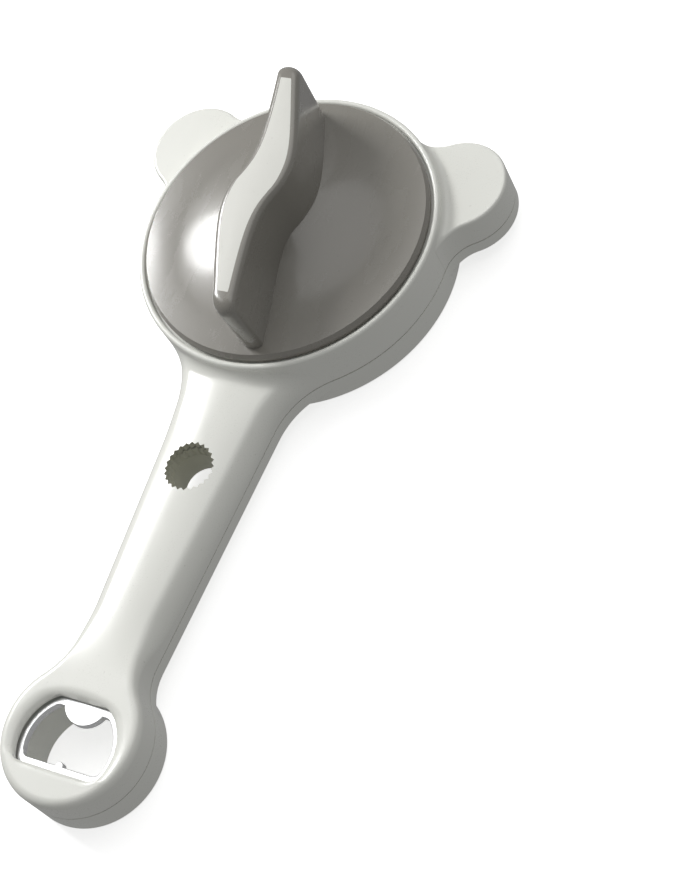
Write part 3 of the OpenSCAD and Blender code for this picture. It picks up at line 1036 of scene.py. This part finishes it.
    def seam_height(self, places: np.ndarray, edge: np.ndarray) -> np.ndarray:
        """Height of the level face under the parting line."""
        return np.full_like(edge, self.parting)

    def top_shell(self, finish: bpy.types.Material, mouth: bpy.types.Material) -> None:
        """Builds the upper shell.

        Args:
            finish: Its plastic.
            mouth: The darker sleeve plastic, painted on the walls of the toothed mouth as painted shade inside
                the hole.
        """
        outer = self.head_r - self.ring_in
        inner = self.head_r - self.rim_w
        under, over = self.deck
        half = (outer - inner) / 2 + self.rim_over
        centre = (outer - half, self.rim_top - half)
        rim = [tuple(point) for point in arc(centre, half, 0, math.pi, 12)]
        profile = [(outer - self.wall, self.parting), (outer, self.parting), *rim, (inner, over),
                   (self.bush_r, over), (self.bush_r, under), (outer - self.wall, under)]
        shell = Solid(turned(profile), self.head)
        for arm, rule in self.tops().items():
            shell.join(ArmGrid(self.outlines[arm]).solid(rule, self.parting, place=arm.turn))
        for arm, rule in self.tops().items():
            hollow = ArmGrid(self.outlines[arm], self.wall, start=44.0, across=24, pitch=2.5)
            shell.cut(hollow.solid(self.sunk(rule), self.parting - PAST, place=arm.turn))
        boss_hollow = rod(self.outlines[Arm.HANDLE].tip_r - self.wall, self.parting - PAST, self.plate_top)
        shell.cut(Solid(boss_hollow, Matrix.Translation(self.boss)))
        shell.cut(self.opening(self.plate_top - PAST, self.lobe_z + PAST))
        shell.cut(self.opening(self.plate_top - PAST, self.plate_top + self.slot_h, self.slot_in))
        shell.cut(self.toothed_hole(high("cap_socket").z - PAST, self.lobe_z + PAST))
        piece = shell.piece("upper_shell", finish, "housing", "shell", "top_shell")
        # The upright walls of the toothed mouth in the white shell take the darker sleeve plastic: painted
        # shade inside the hole.
        piece.data.materials.append(mouth)
        axis = self.socket.translation.xy * MM
        for face in piece.data.polygons:
            reach = (face.center.xy - axis).length
            if abs(face.normal.z) < UPRIGHT and reach < (self.teeth.root_r + CLOSE) * MM:
                face.material_index = 1

    def bottom_shell(self, finish: bpy.types.Material) -> None:
        """Builds the lower shell with its skirt, jaw channels and screw wells.

        Args:
            finish: Its plastic.
        """
        step = self.parting - self.reveal
        skirt_in = self.head_r - self.skirt_w
        foot_r, heel_r = self.skirt_foot, self.skirt_heel
        foot = [tuple(point) for point in arc((self.head_r - foot_r, foot_r), foot_r, -math.pi / 2, 0, 6)]
        heel = [tuple(point) for point in arc((skirt_in + heel_r, heel_r), heel_r, -math.pi, -math.pi / 2, 5)]
        profile = [(0, self.web_z), (skirt_in, self.web_z), *heel, *foot, (self.head_r, step),
                   (self.head_r - self.reveal_in, step), (self.head_r - self.reveal_in, self.parting),
                   (0, self.parting)]
        shell = Solid(turned(profile), self.head)
        for arm, outline in self.outlines.items():
            under = ArmGrid(outline, start=46.5, across=36, pitch=2.0)
            lip = ArmGrid(outline, self.reveal_in, start=46.5, across=12, pitch=3.0)
            shell.join(under.solid(self.foot_height, -step, flip=True, place=arm.turn))
            shell.join(lip.solid(self.seam_height, step - PAST, place=arm.turn))
        at_boss = Matrix.Translation(self.boss)
        plug = self.outlines[Arm.HANDLE].tip_r
        edge_r = self.plug_foot
        round_edge = [tuple(point) for point in arc((plug - edge_r, edge_r), edge_r, -math.pi / 2, 0, 6)]
        plug_profile = [(0, 0.0), *round_edge, (plug, step), (plug - self.reveal_in, step),
                        (plug - self.reveal_in, self.parting), (0, self.parting)]
        shell.join(Solid(turned(plug_profile), at_boss))
        shell.join(Solid(rod(plug - self.wall - self.plug_gap, self.parting - PAST, self.plate_low), at_boss))
        at_well = at_boss @ Matrix.Translation((0, -self.well_shift, 0))
        shell.cut(Solid(rod(self.well_r, -PAST, self.plate_low + PAST), at_well))
        shell.cut(Solid(rod(self.socket_clear_r, -PAST, self.parting + PAST), self.socket))
        width, reach = self.channel
        slot_w, slot_end = self.slot
        for arm in Arm:
            channel = bar(skirt_in - self.channel_back, reach, width, -PAST, self.web_z)
            shell.cut(Solid(channel, arm.turn))
            slot = bar(self.slot_from, slot_end, slot_w, self.slot_low, self.parting + PAST)
            shell.cut(Solid(slot, arm.turn))
        for place in self.screw_places():
            at_screw = Matrix.Translation(place)
            shell.cut(Solid(rod(self.screw_well_r, -PAST, self.screw_seat, sides=48), at_screw))
        shell.piece("lower_shell", finish, "housing", "shell", "bottom_shell")

    def screw_places(self) -> list[Vector]:
        """Middle of each housing screw, found from the loose parts of their node.

        Returns:
            The places, at z = 0.
        """
        bm = bmesh.new()
        bm.from_mesh(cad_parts["housing_screws"].data)
        bmesh.ops.remove_doubles(bm, verts=bm.verts, dist=1e-6)
        left = set(bm.verts)
        places = []
        while left:
            group = [left.pop()]
            for vert in group:
                for edge in vert.link_edges:
                    other = edge.other_vert(vert)
                    if other in left:
                        left.remove(other)
                        group.append(other)
            box = [sum(f([v.co[k] for v in group]) for f in (min, max)) / 2 / MM for k in range(2)]
            places.append(Vector((box[0], box[1], 0)))
        bm.free()
        return places

    def screws(self, finish: bpy.types.Material) -> None:
        """Builds the screws: pan heads with a cross recess and a plain shank.

        Args:
            finish: Their steel.
        """
        head_low = low("housing_screws").z
        top = high("housing_screws").z
        heads = None
        for place in self.screw_places():
            at_screw = Matrix.Translation(place)
            screw = cross_screw(self.screw_head_r, self.shank_r, head_low, self.screw_seat, top, at_screw)
            heads = screw if heads is None else heads.join(screw)
        heads.piece("body_screws", finish, "housing", "fastener", "housing_screws")

    def build(self, plastic: bpy.types.Material, mouth: bpy.types.Material, metal: bpy.types.Material) -> None:
        """Builds both shells and their screws.

        Args:
            plastic: Finish of both shells.
            mouth: The darker sleeve plastic, painted on the toothed mouth's walls as painted shade.
            metal: Finish of the screws.
        """
        self.top_shell(plastic, mouth)
        self.bottom_shell(plastic)
        self.screws(metal)


def cross_screw(head_r: float, shank_r: float, head_low: float, seat: float, top: float,
                place: Matrix) -> Solid:
    """A pan-head screw that points up, with a cross recess in the underside of its head.

    Args:
        head_r: Radius of the head.
        shank_r: Radius of the shank.
        head_low: Height of the head's underside.
        seat: Height of the face that the head sits on.
        top: Height of the screw's end.
        place: Where the screw goes.

    Returns:
        The closed screw.
    """
    screw = Solid(rod(head_r, head_low, seat, sides=40, bevel=SCREW_BEVEL))
    screw.join(Solid(rod(shank_r, seat - SHANK_SINK, top, sides=32, bevel=0.3)))
    arm = head_r * RECESS_SHARE
    for quarter in (0, math.pi / 2):
        blade = bar(-arm, arm, RECESS_W, head_low - PAST, head_low + RECESS_H)
        screw.cut(Solid(blade, Matrix.Rotation(quarter, 4, "Z")))
    screw.obj.data.transform(place)
    return screw


# ---- The knob ----


@dataclass
class TwistKnob:
    """The grey knob: a bell on a disc, and an S-shaped grip across it."""

    disc_h: float = 2.6
    rim_w: float = 0.9
    rim_drop: float = 1.2
    rim_edge: Pair = (0.1, 0.15)
    rim_hold: Pair = (0.2, 0.02)
    bell_r: float = 36.0
    bell_h: float = 6.0
    crown_share: float = 0.25
    lip: float = 2.0
    hub_h: float = 1.2
    half_len: float = 43.4
    foot_len: float = 42.4
    mid_w: float = 8.3
    end_w: float = 3.6
    sweep: float = 6.0
    swing: float = 10.5
    level_out: float = 0.052
    taper_power: float = 1.15
    draft: float = 0.35
    sink: float = 0.6
    nose: float = 2.6
    edge_r: float = 1.9
    end_r: float = 4.4
    # Where the painted reflection on the grip's flat top stops short of the rounded ends, and how near the top
    # a face must lie to take it.
    painted_sheen_back: float = 1.7
    painted_sheen_depth: float = 0.05
    points: int = 72

    def __post_init__(self) -> None:
        """Reads the disc and the grip's top from the frame."""
        self.disc_r = (high("twist_knob").x - low("twist_knob").x) / 2
        self.under = low("twist_knob").z
        self.disc_z = self.under + self.disc_h
        self.grip_z = high("twist_knob").z
        self.place = Matrix.Translation(middle("knob_hub"))
        self.painted_sheen_end = self.half_len - self.end_r - self.painted_sheen_back

    def bell(self) -> Solid:
        """The disc with its bell, hollow underneath for the hub.

        Returns:
            The closed solid in its place.
        """
        angle = 2 * math.atan(self.bell_h / self.bell_r)
        crown_r = self.crown_share * self.bell_r / math.sin(angle)
        flare_r = (1 - self.crown_share) * self.bell_r / math.sin(angle)
        crown = arc((0, self.disc_z + self.bell_h - crown_r), crown_r, math.pi / 2, math.pi / 2 - angle, 24)
        flare = arc((self.bell_r, self.disc_z + flare_r), flare_r, -math.pi / 2 - angle, -math.pi / 2, 56)
        rim_r = self.disc_r - self.rim_w
        low_z = self.disc_z - self.rim_drop
        (hold_w, hold_h), (edge_w, edge_h) = self.rim_hold, self.rim_edge
        chamfer = [(rim_r - hold_w, self.disc_z), (rim_r, self.disc_z - hold_h),
                   (self.disc_r - edge_w, low_z), (self.disc_r, low_z - edge_h)]
        upper = [*map(tuple, crown), *map(tuple, flare[1:]), *chamfer]
        inner = self.disc_r - self.lip
        lower = [(self.disc_r, self.under), (inner, self.under), (inner, self.under + self.hub_h),
                 (0, self.under + self.hub_h)]
        return Solid(turned([*upper, *lower], 256), self.place)

    def outline(self, length: float, inset: float) -> np.ndarray:
        """S-shaped outline of the grip with rounded ends.

        Args:
            length: Half length of the grip at this height.
            inset: How far it is set in.

        Returns:
            The closed outline.
        """
        phase = np.linspace(-math.pi / 2, math.pi / 2, self.points)
        y = length * np.sin(phase)
        centre = self.sweep * (np.tanh(y / self.swing) - self.level_out * y)
        taper = np.maximum(0, 1 - np.abs(y) / length) ** self.taper_power
        width = self.end_w + (self.mid_w - self.end_w) * taper - inset
        nose = np.clip((length - np.abs(y)) / self.nose, 0, 1)
        width = width * np.sqrt(np.maximum(0, 1 - (1 - nose) ** 2))
        right = np.column_stack([centre + width, y])
        left = np.column_stack([centre - width, y])
        return np.vstack([right, left[::-1][1:-1]])

    def grip(self) -> Solid:
        """The grip as a stack of outlines: a drafted wall, a rounded top edge and a flat top.

        Returns:
            The closed solid in its place.
        """
        base = self.disc_z - self.sink
        corner = self.grip_z - self.end_r
        shoulder = self.grip_z - self.edge_r
        levels = []
        for share in np.linspace(0, 1, 7):
            length = self.foot_len + (self.half_len - self.foot_len) * share
            levels.append((base + (corner - base) * share, length, self.draft * (share - 1)))
        bevel = shoulder + self.edge_r * np.sin(np.linspace(0, math.pi / 2, 9)[1:])
        for height in [*np.linspace(corner, shoulder, 6)[1:], *bevel]:
            length = self.half_len - float(rounded(self.grip_z - height, self.end_r))
            levels.append((height, length, float(rounded(self.grip_z - height, self.edge_r))))
        bm = bmesh.new()
        first, *rest = levels
        face = bm.faces.new([bm.verts.new((x, y, first[0])) for x, y in self.outline(first[1], first[2])])
        for height, length, inset in rest:
            raised = bmesh.ops.extrude_face_region(bm, geom=[face], use_keep_orig=True)["geom"]
            if height > levels[1][0]:
                bmesh.ops.delete(bm, geom=[face], context="FACES_ONLY")
            face = next(item for item in raised if isinstance(item, bmesh.types.BMFace))
            for vert, (x, y) in zip(face.verts, self.outline(length, inset)):
                vert.co = (x, y, height)
        bm.normal_update()
        # Cuts the flat top across at both ends of the painted reflection.
        for way in (-1, 1):
            bmesh.ops.bisect_plane(bm, geom=[*face.verts, *face.edges, face], dist=WELD,
                                   plane_co=(0, way * self.painted_sheen_end, 0), plane_no=(0, way, 0))
            face = max((item for item in bm.faces if item.normal.z > PLUMB), key=bmesh.types.BMFace.calc_area)
        return Solid(bm, self.place)

    def build(self, plastic: bpy.types.Material, painted_top_sheen: bpy.types.Material) -> None:
        """Builds the knob and paints the middle of the grip's flat top lighter, as a painted reflection of the
        softbox.

        Args:
            plastic: Finish of the knob.
            painted_top_sheen: Lighter plastic for the grip's flat top, a painted reflection of the softbox.
        """
        knob = self.bell().join(self.grip())
        piece = knob.piece("knob", plastic, "knob", "knob", "twist_knob", crease=38.0)
        # The middle of the grip's flat top takes the lighter plastic: a painted reflection of the softbox.
        piece.data.materials.append(painted_top_sheen)
        for face in piece.data.polygons:
            middle_y = face.center.y / MM - self.place.translation.y
            at_top = face.center.z > (self.grip_z - self.painted_sheen_depth) * MM
            if face.normal.z > PLUMB and at_top and abs(middle_y) < 1:
                face.material_index = 1


# ---- Pieces in the handle ----


@dataclass
class CrownOpener:
    """The steel plate that lifts crown caps."""

    window_r: float = 13.9
    shift: float = 3.5
    window_top: float = 7.4
    window_low: float = 9.4
    corners: Pair = (2.6, 2.4)
    lip_r: float = 7.2
    lip_reach: float = 3.1
    hump: float = 1.3
    edge: float = 0.22

    def outline(self, grow: float) -> np.ndarray:
        """Outline of the window, with its lip and its hump.

        Args:
            grow: How much wider it is all round.

        Returns:
            The closed outline.
        """
        top = self.window_top + grow
        lip_y = self.lip_reach + self.lip_r
        lip_turn = math.asin((top - lip_y) / (self.lip_r - grow))
        hump_r = self.hump - grow
        right = np.vstack([
            arc((0, -self.window_low), hump_r, math.pi / 2, math.asin(-grow / hump_r), 10),
            flatted(self.window_r + grow, self.shift, top, self.window_low + grow, self.corners),
            arc((0, lip_y), self.lip_r - grow, lip_turn, -math.pi / 2, 24),
        ])
        return mirrored(right[1:-1])

    def build(self, finish: bpy.types.Material) -> None:
        """Builds the plate and cuts its window, with a chamfer along the upper edge.

        Args:
            finish: Its steel.
        """
        bottom, top = low("opener_plate").z, high("opener_plate").z
        radius = (high("opener_plate").x - low("opener_plate").x) / 2
        at_boss = Matrix.Translation(middle("opener_plate"))
        window = self.outline(0.0)
        plate = Solid(rod(radius, bottom, top, sides=180), at_boss)
        plate.cut(Solid(prism(window, bottom - PAST, top + PAST), at_boss))
        plate.cut(Solid(prism(self.outline(self.edge), top - self.edge, top + WELD, window), at_boss))
        plate.piece("crown_plate", finish, "housing", "bright_steel", "opener_plate")


@dataclass
class CapSocket:
    """The toothed sleeve that turns small caps. Its teeth fade into a smooth bore."""

    bore_r: float = 7.0
    teeth: Teeth = Teeth()
    fade: float = 3.0
    fade_share: float = 0.985

    def build(self, finish: bpy.types.Material) -> None:
        """Builds the sleeve.

        Args:
            finish: Its plastic.
        """
        bottom, top = low("cap_socket").z, high("cap_socket").z
        radius = (high("cap_socket").x - low("cap_socket").x) / 2
        place = Matrix.Translation(middle("cap_socket"))
        waist = self.teeth.ring() * self.teeth.crest_r * self.fade_share
        mouth = Solid(prism(self.teeth.outline(), top - self.fade, top + PAST, waist=waist))
        sleeve = Solid(rod(radius, bottom, top, sides=96, bevel=0.2))
        sleeve.cut(Solid(rod(self.bore_r, bottom - PAST, top + PAST, sides=96)), mouth)
        sleeve.obj.data.transform(place)
        sleeve.piece("cap_sleeve", finish, "housing", "socket", "cap_socket", crease=28.0)


# ---- Jaws ----


@dataclass
class Jaw:
    """One sliding claw with its rubber pad and screw."""

    arm: Arm
    flange_h: float = 1.4
    flange_in: float = 1.0
    nose_t: float = 2.2
    nose_drop: float = 0.25
    hole_r: float = 1.35
    brace_x: Pair = (1.4, 5.4)
    brace_w: float = 1.2
    brace_h: float = 2.2
    brace_in: float = 1.6
    brace_drop: float = 0.4
    wedge_x: Pair = (2.0, 12.0)
    wedge_w: float = 3.0
    wedge_h: float = 4.0
    wedge_rise: float = 2.0
    wedge_turn: float = -0.5
    shank_r: float = 1.25
    ribs: int = 6
    rib_depth: float = 0.55
    rib_round: float = 1.3

    def _bounds(self, part: str) -> tuple[Vector, Vector]:
        """Measures a part of this jaw, drawn along +X from the middle of the head.

        Args:
            part: The part's name without the arm.

        Returns:
            Its lowest and its highest corner.
        """
        back = self.arm.turn.inverted() @ Matrix.Scale(1 / MM, 4)
        points = [back @ vert.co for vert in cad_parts[self.arm.node(part)].data.vertices]
        return (Vector([min(point[k] for point in points) for k in range(3)]),
                Vector([max(point[k] for point in points) for k in range(3)]))

    def claw(self, finish: bpy.types.Material) -> None:
        """Builds the bent steel claw: a flange, a nose and two sloping braces between them.

        Args:
            finish: Its steel.
        """
        lo, hi = self._bounds("claw")
        nose_x = self._bounds("claw_pad")[1].x
        screw_lo, screw_hi = self._bounds("claw_screw")
        width = hi.y - lo.y
        flange_z = hi.z - self.flange_h
        claw = Solid(bar(lo.x, hi.x, width - self.flange_in, flange_z, hi.z, 0.3))
        claw.join(Solid(bar(nose_x, nose_x + self.nose_t, width, lo.z, hi.z - self.nose_drop, 0.45)))
        middle_x = (screw_lo.x + screw_hi.x) / 2
        claw.cut(Solid(rod(self.hole_r, lo.z, hi.z + PAST, x=middle_x, sides=32)))
        brace_start, brace_end = (nose_x + x for x in self.brace_x)
        wedge_start, wedge_end = (nose_x + x for x in self.wedge_x)
        for side in (-1, 1):
            y = side * (width / 2 - self.brace_in)
            brace_low, brace_top = flange_z - self.brace_h, hi.z - self.brace_drop
            brace = bar(brace_start, brace_end, self.brace_w, brace_low, brace_top, 0.2)
            bmesh.ops.translate(brace, verts=brace.verts, vec=(0, y, 0))
            wedge = bar(wedge_start, wedge_end, self.wedge_w, -self.wedge_h, 0.0)
            bmesh.ops.rotate(wedge, verts=wedge.verts, cent=(wedge_start, 0, 0),
                             matrix=Matrix.Rotation(self.wedge_turn, 3, "Y"))
            bmesh.ops.translate(wedge, verts=wedge.verts, vec=(0, y, flange_z - self.wedge_rise))
            claw.join(Solid(brace).cut(Solid(wedge)))
        claw.obj.data.transform(self.arm.turn)
        claw.piece(self.arm.node("steel_claw"), finish, self.arm.body, "claw_steel", self.arm.node("claw"))

    def pad(self, finish: bpy.types.Material) -> None:
        """Builds the ribbed rubber pad on the claw's face.

        Args:
            finish: Its rubber.
        """
        lo, hi = self._bounds("claw_pad")
        pad = Solid(bar(lo.x, hi.x, hi.y - lo.y, lo.z, hi.z, 0.35))
        pitch = (hi.y - lo.y) / self.ribs
        for k in range(1, self.ribs):
            groove_r = self.rib_depth * self.rib_round
            groove = rod(groove_r, lo.z - PAST, hi.z + PAST, x=lo.x, y=lo.y + k * pitch, sides=12)
            pad.cut(Solid(groove))
        pad.obj.data.transform(self.arm.turn)
        pad.piece(self.arm.node("rubber_pad"), finish, self.arm.body, "grip_rubber", self.arm.node("claw_pad"))

    def screw(self, finish: bpy.types.Material) -> None:
        """Builds the screw that holds the claw.

        Args:
            finish: Its steel.
        """
        lo, hi = self._bounds("claw_screw")
        seat = self._bounds("claw")[1].z - self.flange_h
        place = self.arm.turn @ Matrix.Translation(((lo.x + hi.x) / 2, 0, 0))
        screw = cross_screw((hi.x - lo.x) / 2, self.shank_r, lo.z, seat, hi.z, place)
        screw.piece(self.arm.node("jaw_screw"), finish, self.arm.body, "fastener", self.arm.node("claw_screw"))


def dress(nodes: Sequence[str], finish: bpy.types.Material) -> None:
    """Gives nodes of the frame their finish.

    Args:
        nodes: Names of the nodes.
        finish: Their finish.
    """
    for name in nodes:
        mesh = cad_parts[name].data
        mesh.materials.clear()
        mesh.materials.append(finish)
        LOG.info("%s: frame shape with %s", name, finish.name)


# ---- Studio ----


@dataclass(frozen=True)
class Softbox:
    """A soft light that faces a target, in metres and watts."""

    name: str
    place: Triple
    size: float
    power: float
    target: Triple = (0, 0.05, 0.02)

    def hang(self) -> None:
        """Adds the light to the scene."""
        light = bpy.data.lights.new(self.name, "AREA")
        light.shape = "RECTANGLE"
        light.size = self.size
        light.size_y = self.size
        light.energy = self.power
        box = bpy.data.objects.new(self.name, light)
        box.location = self.place
        box.rotation_euler = (Vector(self.target) - Vector(self.place)).to_track_quat("-Z", "Y").to_euler()
        bpy.context.scene.collection.objects.link(box)


@dataclass(frozen=True)
class Studio:
    """Pale floor, soft lights and the camera."""

    eye: Triple = (0.3159, -0.1979, 0.5068)
    tilt: Triple = (29.579, 19.397, 22.808)
    lens: float = 84.4
    floor_half: float = 3.0
    floor_drop: float = 0.0004
    ambient: float = 0.3
    softboxes: tuple[Softbox, ...] = (
        Softbox("key", (-0.98, 0.36, 0.76), 0.46, 12.0),
        Softbox("top", (0.2, 0.9, 1.5), 1.8, 9.0),
        Softbox("opener_fill", (-0.34, 0.005, 0.53), 0.22, 0.22, (0, -0.1, 0.02)),
    )

    def floor(self) -> None:
        """Lays the floor under the object."""
        bm = bmesh.new()
        bmesh.ops.create_grid(bm, x_segments=8, y_segments=8, size=self.floor_half)
        bmesh.ops.translate(bm, verts=bm.verts, vec=(0, 0, -self.floor_drop))
        mesh = bpy.data.meshes.new("floor")
        bm.to_mesh(mesh)
        bm.free()
        mesh.materials.append(Paper().material())
        floor = bpy.data.objects.new("floor", mesh)
        bpy.context.scene.collection.objects.link(floor)
        floor.visible_diffuse = False
        floor.visible_glossy = False

    def lights(self) -> None:
        """Sets the surroundings and the softboxes."""
        world = bpy.data.worlds.new("room")
        world.use_nodes = True
        room = world.node_tree.nodes["Background"]
        room.inputs[0].default_value = (1, 1, 1, 1)
        room.inputs[1].default_value = self.ambient
        bpy.context.scene.world = world
        for softbox in self.softboxes:
            softbox.hang()

    def camera(self) -> None:
        """Places the camera."""
        data = bpy.data.cameras.new("camera")
        data.lens = self.lens
        camera = bpy.data.objects.new("camera", data)
        camera.location = self.eye
        camera.rotation_euler = [math.radians(angle) for angle in self.tilt]
        bpy.context.scene.collection.objects.link(camera)
        bpy.context.scene.camera = camera
        bpy.context.scene.view_settings.view_transform = "Standard"


def corners(bounds: Any) -> list[list[float]]:
    """A box as two plain lists of numbers."""
    return [[float(axis) for axis in corner] for corner in bounds]


def main() -> None:
    """Builds the opener piece by piece and sets the stage."""
    logging.basicConfig(level=logging.INFO, format="%(message)s")
    finishes = Finishes()
    plastic = finishes.shell.material()
    fastener = finishes.fastener.material()
    nylon = finishes.nylon.material()
    plated = finishes.plated.material()
    claw_steel = finishes.claw.material()
    rubber = finishes.rubber.material()
    socket = finishes.socket.material()
    # The sleeve plastic also goes on the shell's mouth walls as painted shade.
    Housing().build(plastic, socket, fastener)
    # The grip's flat top gets the lighter plastic as a painted reflection.
    TwistKnob().build(finishes.knob.material(), finishes.painted_top_sheen.material())
    CrownOpener().build(finishes.bright.material())
    CapSocket().build(socket)
    for arm in Arm:
        jaw = Jaw(arm)
        jaw.claw(claw_steel)
        jaw.pad(rubber)
        jaw.screw(fastener)
    dress(["knob_hub", "centre_bush", "slip_ring", *[arm.node("slider") for arm in Arm]], nylon)
    dress(["scroll_plate", "retaining_washer", "guide_plate"], plated)
    dress(["retaining_screw", "guide_screws", *[arm.node("jaw_pin") for arm in Arm]], fastener)
    dress(["centre_cap"], plastic)
    studio = Studio()
    studio.floor()
    studio.lights()
    studio.camera()


if __name__ == "__main__":
    main()
